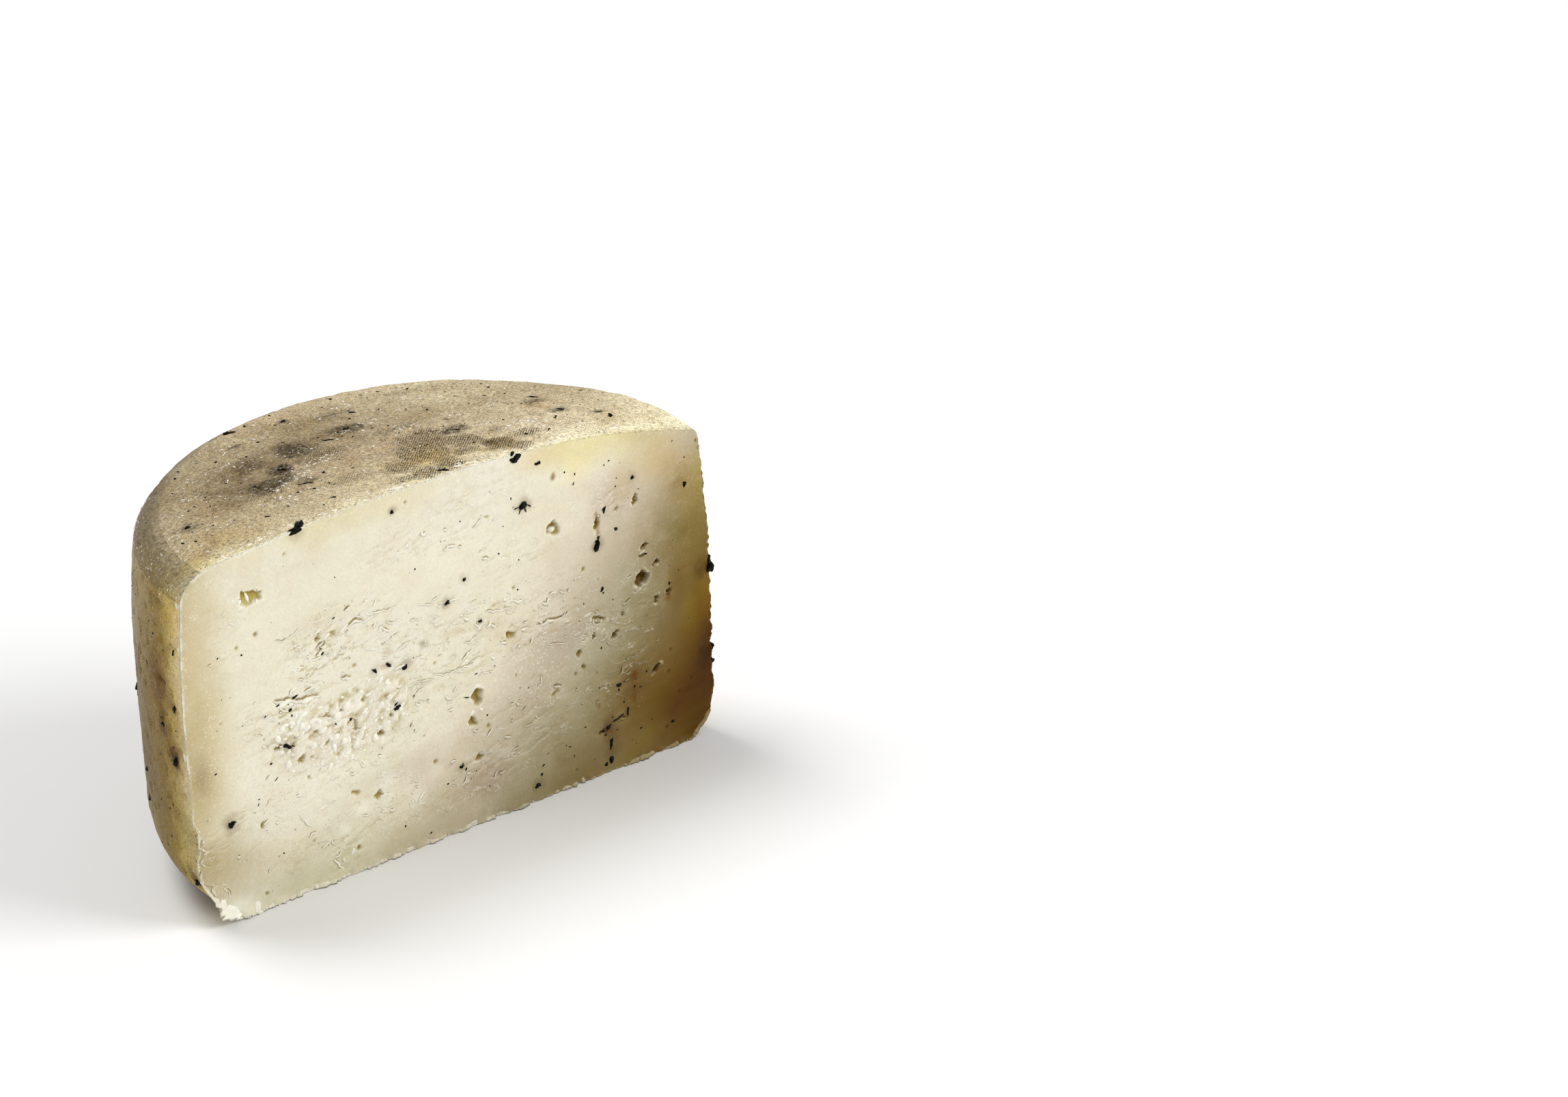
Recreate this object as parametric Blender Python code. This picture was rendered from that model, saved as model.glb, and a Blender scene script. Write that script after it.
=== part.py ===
"""Half a small wheel of goat's cheese with black truffle, standing on its base and cut through the middle.

The rind is a low drum with rounded rims, a slightly domed top and one slumped shoulder.  The cut face is
flat to the touch but torn: it has open eyes, short cracks, a crumbly patch and ragged edges.  Bits of
truffle are bedded in the cut and in the rind.

Lengths are in metres.  While the shape is worked out, x runs along the cut from its middle, y goes into
the cheese from the cut, and z is up from the base.  The finished piece stands on z = 0 with the middle of
its footprint at the origin.
"""
import math

import bmesh
import bpy
import numpy as np
from mathutils import Matrix, Vector
from mathutils.geometry import delaunay_2d_cdt

MM = 0.001

# The wheel
WHEEL_RADIUS = 65.0 * MM
WHEEL_HEIGHT = 78.4 * MM            # in the middle of the domed top
DOME_FALL = 4.2 * MM                # from the middle of the top to its rim, along the cut
DOME_FALL_BACK = 1.9 * MM           # the same, straight back
BELLY_HEIGHT = 40 * MM              # the wall is upright up to here
WALL_LEAN = 2.4 * MM                # how far it draws in from there to the top, beside the cut
WALL_LEAN_BACK = 4.6 * MM           # the same, at the back
BASE_ROUND = 15.5 * MM              # rounding of the lower rim, at the left of the cut
BASE_ROUND_RIGHT = 9.5 * MM         # the same, at the right of the cut
TOP_ROUND_ACROSS = 7.6 * MM         # rounding of the upper rim, at the left of the cut
TOP_ROUND_DOWN = 5.2 * MM
TOP_ROUND_SHARP = 1.5 * MM          # the same, at the right of the cut
SHARP_POWER = 1.8                   # how soon the rounding grows from right to left
WOBBLE = 0.3 * MM                   # unevenness of the hand-turned drum
CUT_TO_MIDDLE = 31.3 * MM           # from the cut back to the middle of the footprint

# The slumped shoulder at the right of the cut
SLUMP_START = 17 * MM
SLUMP_DEPTH = 4.2 * MM
SLUMP_POWER = 1.5
SLUMP_REACH = 14 * MM               # how far back into the wheel it fades

# The cut face
KNIFE_WAVE = 0.12 * MM
CRUMBLE_DEPTH = 0.75 * MM
CRUMBLE_CENTRE = (-30 * MM, 34 * MM)
CRUMBLE_RADII = (19 * MM, 9 * MM)
EDGE_RAG = 0.28 * MM                # raggedness of the cut's edge
FOOT_RAG = 0.5 * MM                 # the same along the base, where crumbs of rind stick out
LIP_CENTRE = -56.5 * MM             # a thin flap of paste smeared forward and down at the base
LIP_HALF_LENGTH = 6.5 * MM
LIP_REACH = 1.5 * MM
LIP_HEIGHT = 4.5 * MM
CHIP_CENTRE = (-65 * MM, 19.5 * MM)  # a flake of rind broken off the left edge
CHIP_RADII = (2.6 * MM, 4.5 * MM)
CHIP_LOSS = 1.6 * MM

# Open eyes in the cut: along, up, width, height, tilt in degrees, depth
EYES = [
    (-48.0, 66.2, 5.2, 3.0, 20, 1.6), (-31.6, 52.5, 4.6, 2.0, 35, 0.8), (24.0, 59.3, 3.2, 3.2, 30, 1.8),
    (12.0, 39.3, 2.2, 1.7, 0, 1.2), (38.6, 30.9, 2.2, 1.6, 30, 1.4), (2.9, 28.5, 2.8, 4.2, -20, 2.4),
    (1.2, 23.1, 2.4, 1.9, -30, 1.5), (-39.7, 29.1, 1.6, 1.6, 0, 1.2), (2.5, 14.8, 2.0, 1.6, 30, 1.2),
    (46.6, 41.4, 3.6, 4.4, -30, 2.6), (47.0, 48.2, 2.4, 2.4, 20, 1.5), (50.3, 43.9, 2.2, 1.6, 10, 1.3),
    (53.3, 35.5, 1.6, 2.0, 0, 1.1), (49.3, 19.8, 2.9, 1.4, 35, 1.0), (45.2, 59.5, 1.8, 2.4, -30, 1.1),
    (29.1, 29.5, 1.5, 1.5, 0, 0.8), (-26.5, 32.8, 1.4, 2.6, -15, 1.5), (-21.1, 28.3, 2.0, 1.4, 0, 1.2),
    (35.2, 57.2, 1.2, 3.6, -20, 1.0), (-28.2, 18.0, 2.2, 1.4, -20, 0.9), (-22.7, 15.1, 1.9, 2.2, 25, 1.1),
]

# Cracks in the cut: from and to, along and up
CRACKS = [
    ((-45.5, 41.5), (-34.5, 43.6)), ((-39.0, 48.0), (-27.0, 55.0)), ((-24.0, 33.0), (-17.0, 38.5)),
    ((-18.0, 33.0), (8.0, 40.0)), ((17.0, 34.0), (27.0, 38.5)), ((31.5, 36.8), (38.0, 34.5)),
    ((-56.0, 37.0), (-44.0, 39.5)), ((33.0, 8.0), (40.0, 10.5)), ((30.0, 62.0), (44.0, 65.5)),
]
CRACK_HALF_WIDTH = 0.45 * MM
CRACK_DEPTH = 0.8 * MM

# The largest truffle bits in the cut: along, up, length, width, tilt in degrees
CUT_BITS = [
    (15.8, 77.2, 2.6, 1.7, 35), (20.8, 74.4, 1.6, 0.9, 5), (-37.0, 76.6, 2.8, 1.5, 30),
    (16.7, 66.4, 2.2, 1.4, 20), (35.1, 52.4, 2.6, 1.8, 75), (37.1, 59.6, 1.3, 0.8, 70),
    (39.9, 54.6, 1.0, 0.9, 0), (44.7, 64.5, 1.3, 1.0, 30), (1.6, 55.0, 1.1, 0.9, 40),
    (-3.0, 51.2, 1.4, 0.8, 20), (4.7, 44.6, 1.2, 0.9, 0), (35.7, 42.2, 1.4, 0.7, 80),
    (-21.3, 42.3, 1.3, 0.9, -50), (-17.9, 42.4, 1.5, 0.7, -35), (-14.2, 40.7, 1.4, 0.9, 10),
    (-16.8, 32.9, 1.5, 0.7, 25), (-27.6, 33.8, 1.0, 0.9, 0), (-41.1, 40.3, 1.0, 0.8, 0),
    (-42.7, 33.0, 1.7, 1.0, -30), (-56.5, 20.7, 1.7, 1.5, 0), (-1.9, 14.2, 1.3, 1.0, 30),
    (17.0, 3.4, 1.8, 0.9, 30), (35.9, 10.5, 2.6, 1.1, 25), (36.4, 6.0, 3.4, 0.9, 82),
    (41.2, 12.4, 1.8, 0.7, 70), (39.1, 19.2, 1.2, 0.9, 0), (53.2, 5.8, 1.1, 0.9, 0),
    (58.5, 59.2, 1.3, 0.8, 60), (-14.7, 74.3, 1.0, 0.9, 0), (53.6, 38.0, 0.9, 0.9, 0),
]

# Bits that stand out of the rind beside the cut: turn round the wheel from the right in degrees, up,
# length, width, tilt in degrees
WALL_BITS = [
    (1.0, 38.9, 3.8, 2.2, -65), (1.4, 19.8, 2.8, 1.8, 50), (1.8, 16.4, 2.6, 1.6, -40),
    (176.0, 35.7, 2.2, 1.6, 60), (172.3, 41.9, 1.3, 0.9, 20), (177.2, 47.3, 1.6, 0.9, 60),
    (177.7, 58.9, 1.2, 0.8, 80), (177.6, 9.5, 2.3, 1.6, 20), (159.0, 25.8, 1.4, 1.0, 30),
]

# Bits on the top: along and into the cheese, length, width, tilt in degrees
TOP_BITS = [
    (-6.2, 50.2, 2.0, 1.2, 30), (-18.3, 52.3, 2.4, 1.1, 10), (-49.6, 17.5, 1.6, 1.0, 0),
    (-22.4, 8.0, 1.6, 1.0, 20), (7.1, 44.4, 1.8, 1.2, 40), (0.2, 37.1, 2.2, 1.4, 0),
    (39.1, 24.5, 2.0, 1.0, -30), (44.1, 5.5, 2.3, 1.0, -25), (23.6, 47.9, 1.6, 1.1, 0),
    (-34.6, 1.6, 2.6, 1.6, 20),
]
BIT_THICKNESS = 0.9                 # of a bit's width
BIT_STANDS = 0.42                   # the share of its thickness that stands out of the surface
RIND_BITS = 20                      # more on the rest of the rind, spread evenly
RIND_BIT_LENGTH = (1.2 * MM, 2.2 * MM)

# Fineness of the surfaces
CUT_STEP = 2.7 * MM
TOP_STEP = 5.0 * MM
WALL_STEP = 4.6 * MM
BASE_STEP = 9.0 * MM
EDGE_STEP = 2.2 * MM
RIM_STEP = 4.4 * MM
EYE_RINGS = ((1.4, 0.0, 8), (1.0, 0.05, 8), (0.72, 0.8, 6))  # size, share of the depth, corners
CRACK_STEP = 2.4 * MM
SHORTEST_EDGE = 0.02 * MM


def waves(x, y, z, length, seed, count=7):
    """Smooth unevenness between about -1 and 1: the mean of sine waves of one length in random directions."""
    draw = np.random.default_rng(seed)
    total = 0.0
    for _ in range(count):
        direction = draw.normal(size=3)
        direction *= 2 * math.pi / (length * np.linalg.norm(direction) * draw.uniform(0.75, 1.4))
        total = total + np.sin(direction[0] * x + direction[1] * y + direction[2] * z + draw.uniform(0, 6.3))
    return total * (1.7 / count)


def bump(distance):
    """1 at distance 0, falling smoothly to 0 at distance 1."""
    return np.clip(1 - np.asarray(distance) ** 2, 0, None) ** 2


# ---------------------------------------------------------------- the drum of rind

def settle(x, y, z):
    """Lower a drum of full height to the domed top and the slumped shoulder, in proportion to height."""
    dome = (DOME_FALL * x ** 2 + DOME_FALL_BACK * y ** 2) / WHEEL_RADIUS ** 2
    along = np.clip((x - SLUMP_START) / (WHEEL_RADIUS - SLUMP_START), 0, None)
    slump = SLUMP_DEPTH * along ** SLUMP_POWER * np.exp(-y / SLUMP_REACH)
    uneven = WOBBLE * waves(x, y, 0 * x, 38 * MM, 3)
    return z - (dome + slump + uneven) * np.clip(z / WHEEL_HEIGHT, 0, 1) ** 1.5


def drum_radius(turn, z):
    """Radius of the wall: widest up to the belly, drawn in above it, and a little uneven."""
    share = np.clip(z - BELLY_HEIGHT, 0, None) / (WHEEL_HEIGHT - BELLY_HEIGHT)
    lean = (WALL_LEAN + (WALL_LEAN_BACK - WALL_LEAN) * np.sin(turn) ** 2) * share ** 2
    uneven = WOBBLE * waves(np.cos(turn) * WHEEL_RADIUS, np.sin(turn) * WHEEL_RADIUS, z, 45 * MM, 5)
    # the wall keeps its size where it decides the wheel's length and depth
    return WHEEL_RADIUS - lean - (uneven + WOBBLE) * np.sin(2 * turn) ** 2


def top_round(turn):
    """How far the upper rim's rounding reaches in from the wall, and down."""
    sharp = ((1 + np.cos(turn)) / 2) ** SHARP_POWER
    across = TOP_ROUND_ACROSS + (TOP_ROUND_SHARP - TOP_ROUND_ACROSS) * sharp
    down = TOP_ROUND_DOWN + (TOP_ROUND_SHARP - TOP_ROUND_DOWN) * sharp
    return across, down


def base_round(turn):
    """Radius of the lower rim's rounding."""
    return BASE_ROUND + (BASE_ROUND_RIGHT - BASE_ROUND) * (1 + np.cos(turn)) / 2


def wall_point(turn, run):
    """Point on the wall: run goes 0 to 1 down the upper rounding, 1 to 2 down the wall, 2 to 3 under it."""
    turn = np.asarray(turn, float)
    run = np.asarray(run, float)
    across, down = top_round(turn)
    foot = base_round(turn)
    top_z = WHEEL_HEIGHT - down
    upper = np.clip(run, 0, 1) * math.pi / 2
    middle = np.clip(run - 1, 0, 1)
    lower = np.clip(run - 2, 0, 1) * math.pi / 2
    z = np.where(run < 1, top_z + down * np.cos(upper), top_z + (foot - top_z) * middle)
    z = np.where(run > 2, foot * (1 - np.sin(lower)), z)
    inset = across * (1 - np.sin(upper)) + foot * (1 - np.cos(lower))
    radius = drum_radius(turn, z) - inset
    x = radius * np.cos(turn)
    y = radius * np.sin(turn)
    return np.stack([x, y, settle(x, y, z)], axis=-1)


def top_point(x, y):
    """Point on the domed top."""
    return np.stack([x, y, settle(x, y, np.full_like(x, WHEEL_HEIGHT))], axis=-1)


# ---------------------------------------------------------------- the cut face

def crack_depth(x, z):
    """Depth of the cracks: each is a groove with sloping sides, shallower at its ends."""
    depth = np.zeros_like(x)
    for start, end in CRACKS:
        a = np.array(start) * MM
        b = np.array(end) * MM
        along = np.clip(((x - a[0]) * (b - a)[0] + (z - a[1]) * (b - a)[1]) / np.sum((b - a) ** 2), 0, 1)
        away = np.hypot(x - a[0] - along * (b - a)[0], z - a[1] - along * (b - a)[1])
        groove = np.clip(1 - away / CRACK_HALF_WIDTH, 0, 1) * np.sqrt(np.clip(4 * along * (1 - along), 0, 1))
        depth = np.maximum(depth, CRACK_DEPTH * groove)
    return depth


def cut_depth(x, z):
    """How deep the cut's surface lies: the knife's waves, the crumbly patch and the cracks."""
    wave = KNIFE_WAVE * waves(x, 0 * x, z * 1.6, 24 * MM, 11)
    across = (x - CRUMBLE_CENTRE[0]) / CRUMBLE_RADII[0]
    patch = bump(np.hypot(across, (z - CRUMBLE_CENTRE[1]) / CRUMBLE_RADII[1]))
    crumbs = CRUMBLE_DEPTH * patch * (0.45 + 0.55 * waves(x, 0 * x, z, 5.5 * MM, 12))
    return wave + crumbs + crack_depth(x, z)


def ragged_edge(points):
    """Break the cut's sharp edge: crumbs and notches along it, a smeared lip on the base and a lost flake."""
    x, y, z = points.T
    at_foot = bump(z / (3 * MM))
    notch = EDGE_RAG * (1 + waves(x, y, z, 6 * MM, 21)) * (1 - at_foot)
    flake = bump(np.hypot((x - CHIP_CENTRE[0]) / CHIP_RADII[0], (z - CHIP_CENTRE[1]) / CHIP_RADII[1]))
    inward = np.stack([-x, 0 * x, 0.5 * WHEEL_HEIGHT - z], axis=-1)
    inward /= np.linalg.norm(inward, axis=1)[:, None]
    moved = points + inward * notch[:, None]
    moved[:, 0] += CHIP_LOSS * flake
    moved[:, 1] += notch * 0.6 - FOOT_RAG * at_foot * (1 + waves(x, y, z, 5 * MM, 22))
    lip = bump((x - LIP_CENTRE) / LIP_HALF_LENGTH) * bump(z / LIP_HEIGHT)
    moved[:, 1] -= LIP_REACH * lip
    moved[:, 2] *= 1 - 0.8 * lip
    return moved


def ellipse(eye, scale, sides):
    """Points round an eye's rim, a little uneven."""
    along, up, width, height, tilt, _ = eye
    draw = np.random.default_rng(int(1000 + along * 10 + up))
    angle = np.arange(sides) * 2 * math.pi / sides
    reach = draw.uniform(0.85, 1.15, 8)[:sides] * scale
    a = reach * width / 2 * np.cos(angle)
    b = reach * height / 2 * np.sin(angle)
    lean = math.radians(tilt)
    x = along + a * math.cos(lean) - b * math.sin(lean)
    z = up + a * math.sin(lean) + b * math.cos(lean)
    return np.stack([x, z], axis=-1) * MM


# ---------------------------------------------------------------- triangles

def staggered(low, high, step, seed):
    """Points of a staggered grid, each shifted a little."""
    draw = np.random.default_rng(seed)
    rows = np.arange(low[1], high[1], step * 0.866)
    points = []
    for number, row in enumerate(rows):
        line = np.arange(low[0] + (number % 2) * step / 2, high[0], step)
        points.append(np.stack([line, np.full_like(line, row)], axis=-1))
    points = np.concatenate(points)
    return points + draw.uniform(-0.14, 0.14, points.shape) * step


def inside_loop(points, loop, margin):
    """Keep the points inside a closed loop and at least margin away from it."""
    a = loop
    b = np.roll(loop, -1, axis=0)
    side = b - a
    px = points[:, None, 0]
    pz = points[:, None, 1]
    square = np.maximum((side ** 2).sum(1), 1e-18)
    share = np.clip(((px - a[:, 0]) * side[:, 0] + (pz - a[:, 1]) * side[:, 1]) / square, 0, 1)
    away = np.hypot(px - a[:, 0] - share * side[:, 0], pz - a[:, 1] - share * side[:, 1]).min(axis=1)
    crosses = (a[:, 1] > pz) != (b[:, 1] > pz)
    height = np.where(side[:, 1] == 0, 1e-18, side[:, 1])
    at = a[:, 0] + (pz - a[:, 1]) / height * side[:, 0]
    return points[((crosses & (px < at)).sum(axis=1) % 2 == 1) & (away > margin)]


def triangulate(loop, inner, rings=()):
    """Triangles over a closed loop and the points inside it, as rows of point numbers.

    No triangle crosses a ring, which is given as the numbers of its points among the inner ones.
    """
    flat = [tuple(point) for point in np.concatenate([loop, inner]) / MM]
    fixed = []
    for ring in rings:
        fixed += list(zip(ring + len(loop), np.roll(ring, -1) + len(loop)))
    fixed = [(int(start), int(end)) for start, end in fixed]
    result = delaunay_2d_cdt(flat, fixed, [list(range(len(loop)))], 1, 1e-5)
    return [tuple(result[3][corner][0] for corner in face) for face in result[2]]


def add_patch(mesh, corners, faces, outward):
    """Add triangles to the mesh, each turned to face the way that outward gives for its middle."""
    made = [mesh.verts.new(corner) for corner in corners]
    for face in faces:
        a, b, c = (Vector(corners[number]) for number in face)
        normal = (b - a).cross(c - a)
        order = face if normal.dot(Vector(outward((a + b + c) / 3))) > 0 else face[::-1]
        mesh.faces.new([made[number] for number in order])


class Edges:
    """The stretches of edge that the four surfaces share, as rows of points."""

    def __init__(self):
        # down the profile: the upper rounding, the wall and the lower rounding
        self.profile = np.concatenate([np.linspace(0, 1, 6)[:-1], np.linspace(1, 2, 30)[:-1],
                                       np.linspace(2, 3, 8)])
        self.right = wall_point(np.zeros_like(self.profile), self.profile)
        self.left = wall_point(np.full_like(self.profile, math.pi), self.profile)
        top_x = self.between(self.left[0, 0], self.right[0, 0])
        self.top = top_point(top_x, 0 * top_x)
        base_x = self.between(self.left[-1, 0], self.right[-1, 0])
        self.base = np.stack([base_x, 0 * base_x, 0 * base_x], axis=-1)
        self.turns = np.linspace(0, math.pi, round(math.pi * WHEEL_RADIUS / RIM_STEP))[1:-1]
        self.upper_rim = wall_point(self.turns, np.zeros_like(self.turns))
        self.lower_rim = wall_point(self.turns, np.full_like(self.turns, 3.0))

    @staticmethod
    def between(start, end):
        """Evenly spaced places from start to end, without the ends themselves."""
        return np.linspace(start, end, round((end - start) / EDGE_STEP))[1:-1]


def crack_lines():
    """Points along the middle and both sides of every crack."""
    points = []
    for start, end in CRACKS:
        a = np.array(start) * MM
        b = np.array(end) * MM
        length = np.hypot(*(b - a))
        across = np.array([a[1] - b[1], b[0] - a[0]]) / length * CRACK_HALF_WIDTH
        share = np.linspace(0.04, 0.96, max(4, round(length / CRACK_STEP)))[:, None]
        for offset in (-1, 0, 1):
            points.append(a + share * (b - a) + offset * across)
    return np.concatenate(points)


def add_cut(mesh, edges):
    """The cut face: an even spread of points, with closer ones along the cracks and round the eyes."""
    # seen from in front: along the top to the right, down, back along the base and up
    edge = np.concatenate([edges.left[:1], edges.top, edges.right, edges.base[::-1], edges.left[:0:-1]])
    loop = edge[:, [0, 2]]
    cracks = inside_loop(crack_lines(), loop, 0.45 * CUT_STEP)
    ground = inside_loop(staggered((-WHEEL_RADIUS, 0), (WHEEL_RADIUS, WHEEL_HEIGHT), CUT_STEP, 31),
                         loop, 0.6 * CUT_STEP)
    for along, up, width, height, _, _ in EYES:
        centre = np.array([along, up]) * MM
        clear = 0.75 * max(width, height) * MM + 0.33 * CUT_STEP
        ground = ground[np.hypot(*(ground - centre).T) > clear]
        cracks = cracks[np.hypot(*(cracks - centre).T) > clear]
    gaps = np.hypot(ground[:, None, 0] - cracks[None, :, 0], ground[:, None, 1] - cracks[None, :, 1])
    ground = ground[gaps.min(axis=1) > 0.45 * CUT_STEP]

    points = [ground, cracks]
    extra = [np.zeros(len(ground) + len(cracks))]
    rings = []
    count = len(extra[0])
    for eye in EYES:
        for scale, share, sides in EYE_RINGS:
            points.append(ellipse(eye, scale, sides))
            extra.append(np.full(sides, share * eye[5] * MM))
            if scale <= 1:
                rings.append(np.arange(count, count + sides))
            count += sides
        points.append(np.array([[eye[0], eye[1]]]) * MM)
        extra.append(np.array([eye[5] * MM]))
        count += 1
    flat = np.concatenate(points)
    # near the base the paste follows the smeared lip forward
    lip = bump((flat[:, 0] - LIP_CENTRE) / LIP_HALF_LENGTH) * bump(flat[:, 1] / (1.4 * LIP_HEIGHT))
    deep = cut_depth(flat[:, 0], flat[:, 1]) + np.concatenate(extra) - 0.5 * LIP_REACH * lip
    inner = np.stack([flat[:, 0], deep, flat[:, 1]], axis=-1)
    add_patch(mesh, np.concatenate([ragged_edge(edge), inner]), triangulate(loop, flat, rings),
              lambda middle: (0, -1, 0))


def add_flat(mesh, front, rim, step, surface, outward):
    """The top or the base: a half disc between the cut's edge in front and the rim behind."""
    loop = np.concatenate([front[:, :2], rim[:, :2]])
    spread = inside_loop(staggered((-WHEEL_RADIUS, 0), (WHEEL_RADIUS, WHEEL_RADIUS), step, 32),
                         loop, 0.5 * step)
    corners = np.concatenate([ragged_edge(front), rim, surface(spread[:, 0], spread[:, 1])])
    add_patch(mesh, corners, triangulate(loop, spread), lambda middle: outward)


def add_wall(mesh, edges):
    """The wall, laid out flat as distance round the wheel by distance down the profile."""
    steps = np.linalg.norm(np.diff(edges.left, axis=0), axis=1)
    down = np.concatenate([[0], np.cumsum(steps)])
    end = math.pi * WHEEL_RADIUS
    along = edges.turns * WHEEL_RADIUS
    loop = np.concatenate([
        np.stack([0 * down, -down], axis=-1),
        np.stack([along, np.full_like(along, -down[-1])], axis=-1),
        np.stack([np.full_like(down, end), -down[::-1]], axis=-1),
        np.stack([along[::-1], 0 * along], axis=-1),
    ])
    spread = inside_loop(staggered((0, -down[-1]), (end, 0), WALL_STEP, 34), loop, 0.5 * WALL_STEP)
    surface = wall_point(spread[:, 0] / WHEEL_RADIUS, np.interp(-spread[:, 1], down, edges.profile))
    corners = np.concatenate([ragged_edge(edges.right), edges.lower_rim, ragged_edge(edges.left[::-1]),
                              edges.upper_rim[::-1], surface])
    add_patch(mesh, corners, triangulate(loop, spread),
              lambda middle: (middle.x, middle.y, middle.z - 0.5 * WHEEL_HEIGHT))


def base_point(x, y):
    """Point on the flat base."""
    return np.stack([x, y, 0 * x], axis=-1)


def build_body():
    """The half wheel as one closed mesh: cut face, top, base and wall, joined along their shared edges."""
    edges = Edges()
    mesh = bmesh.new()
    add_cut(mesh, edges)
    add_flat(mesh, np.concatenate([edges.left[:1], edges.top, edges.right[:1]]), edges.upper_rim,
             TOP_STEP, top_point, (0, 0, 1))
    add_flat(mesh, np.concatenate([edges.left[-1:], edges.base, edges.right[-1:]]), edges.lower_rim,
             BASE_STEP, base_point, (0, 0, -1))
    add_wall(mesh, edges)
    bmesh.ops.remove_doubles(mesh, verts=mesh.verts[:], dist=1e-6)
    bmesh.ops.recalc_face_normals(mesh, faces=mesh.faces[:])
    return mesh


# ---------------------------------------------------------------- truffle

def truffle_bit(number, place, long_way, out, length, width):
    """One angular bit of truffle: a twenty-faced lump, stretched, roughened and half bedded."""
    draw = np.random.default_rng(500 + number)
    mesh = bmesh.new()
    bmesh.ops.create_icosphere(mesh, subdivisions=1, radius=0.5)
    for corner in mesh.verts:
        corner.co *= float(draw.uniform(0.78, 1.16))
    out = Vector(out).normalized()
    long_way = Vector(long_way)
    long_way = (long_way - out * long_way.dot(out)).normalized()
    turn = Matrix((long_way, out.cross(long_way), out)).transposed()
    size = Vector((length, width, BIT_THICKNESS * width))
    for corner in mesh.verts:
        corner.co = turn @ Vector((corner.co.x * size.x, corner.co.y * size.y, corner.co.z * size.z))
        corner.co += Vector(place) + out * (BIT_STANDS - 0.5) * size.z
    data = bpy.data.meshes.new(f"bit_{number:03d}")
    mesh.to_mesh(data)
    mesh.free()
    return bpy.data.objects.new(f"bit_{number:03d}", data)


def wall_frame(turn, z):
    """A point on the wall at a height, and the direction straight out of it."""
    runs = np.linspace(0.2, 2.9, 200)
    line = wall_point(np.full_like(runs, turn), runs)
    run = runs[np.argmin(abs(line[:, 2] - z))]
    place = wall_point(turn, run)
    beside = wall_point(turn + 0.01, run)
    below = wall_point(turn, run + 0.02)
    return place, np.cross(below - place, beside - place)


def all_bits():
    """Every truffle bit: those placed by hand in the cut, the wall and the top, then an even spread."""
    bits = []
    for along, up, length, width, tilt in CUT_BITS:
        lean = math.radians(tilt)
        depth = float(cut_depth(np.array([along * MM]), np.array([up * MM]))[0])
        place = (along * MM, depth, up * MM)
        bits.append((place, (math.cos(lean), 0, math.sin(lean)), (0, -1, 0), length * MM, width * MM))
    for turn, up, length, width, tilt in WALL_BITS:
        place, out = wall_frame(math.radians(turn), up * MM)
        lean = math.radians(tilt)
        side = (-math.sin(math.radians(turn)) * math.cos(lean), math.cos(math.radians(turn)) * math.cos(lean),
                math.sin(lean))
        bits.append((place, side, out, length * MM, width * MM))
    for along, into, length, width, tilt in TOP_BITS:
        place = top_point(np.array([along * MM]), np.array([into * MM]))[0]
        lean = math.radians(tilt)
        bits.append((place, (math.cos(lean), math.sin(lean), 0), (0, 0, 1), length * MM, width * MM))
    draw = np.random.default_rng(77)
    for number in range(RIND_BITS):
        turn = math.radians(12 + 156 * (number + draw.uniform(0.2, 0.8)) / RIND_BITS)
        up = (12 + 54 * ((number * 0.618) % 1)) * MM
        place, out = wall_frame(turn, up)
        lean = draw.uniform(0, math.pi)
        side = (-math.sin(turn) * math.cos(lean), math.cos(turn) * math.cos(lean), math.sin(lean))
        length = draw.uniform(*RIND_BIT_LENGTH)
        bits.append((place, side, out, length, length * draw.uniform(0.5, 0.8)))
    return bits


def fuse(body, pieces):
    """Join the pieces to the body with one Boolean union, and leave a single mesh."""
    crowd = bpy.data.collections.new("truffle_bits")
    bpy.context.scene.collection.children.link(crowd)
    for piece in pieces:
        crowd.objects.link(piece)
    union = body.modifiers.new("truffle", 'BOOLEAN')
    union.operation = 'UNION'
    union.operand_type = 'COLLECTION'
    union.collection = crowd
    union.solver = 'MANIFOLD'
    bpy.context.view_layer.update()
    seen = body.evaluated_get(bpy.context.evaluated_depsgraph_get())
    fused = bpy.data.meshes.new_from_object(seen)
    body.modifiers.clear()
    body.data = fused
    for piece in pieces:
        bpy.data.objects.remove(piece)
    bpy.data.collections.remove(crowd)


def drop_scraps(body):
    """Keep the largest connected shell, so that no loose scrap of a bit is left, and move it into place."""
    mesh = bmesh.new()
    mesh.from_mesh(body.data)
    bmesh.ops.triangulate(mesh, faces=mesh.faces[:])
    waiting = set(mesh.verts)
    shells = []
    while waiting:
        shell = {waiting.pop()}
        front = list(shell)
        while front:
            corner = front.pop()
            for edge in corner.link_edges:
                other = edge.other_vert(corner)
                if other not in shell:
                    shell.add(other)
                    front.append(other)
        waiting -= shell
        shells.append(shell)
    largest = max(shells, key=len)
    bmesh.ops.delete(mesh, geom=[corner for corner in mesh.verts if corner not in largest], context='VERTS')
    bmesh.ops.dissolve_degenerate(mesh, edges=mesh.edges[:], dist=SHORTEST_EDGE)
    bmesh.ops.triangulate(mesh, faces=mesh.faces[:])
    bmesh.ops.translate(mesh, verts=mesh.verts[:], vec=(0, -CUT_TO_MIDDLE, 0))
    mesh.to_mesh(body.data)
    mesh.free()


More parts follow.
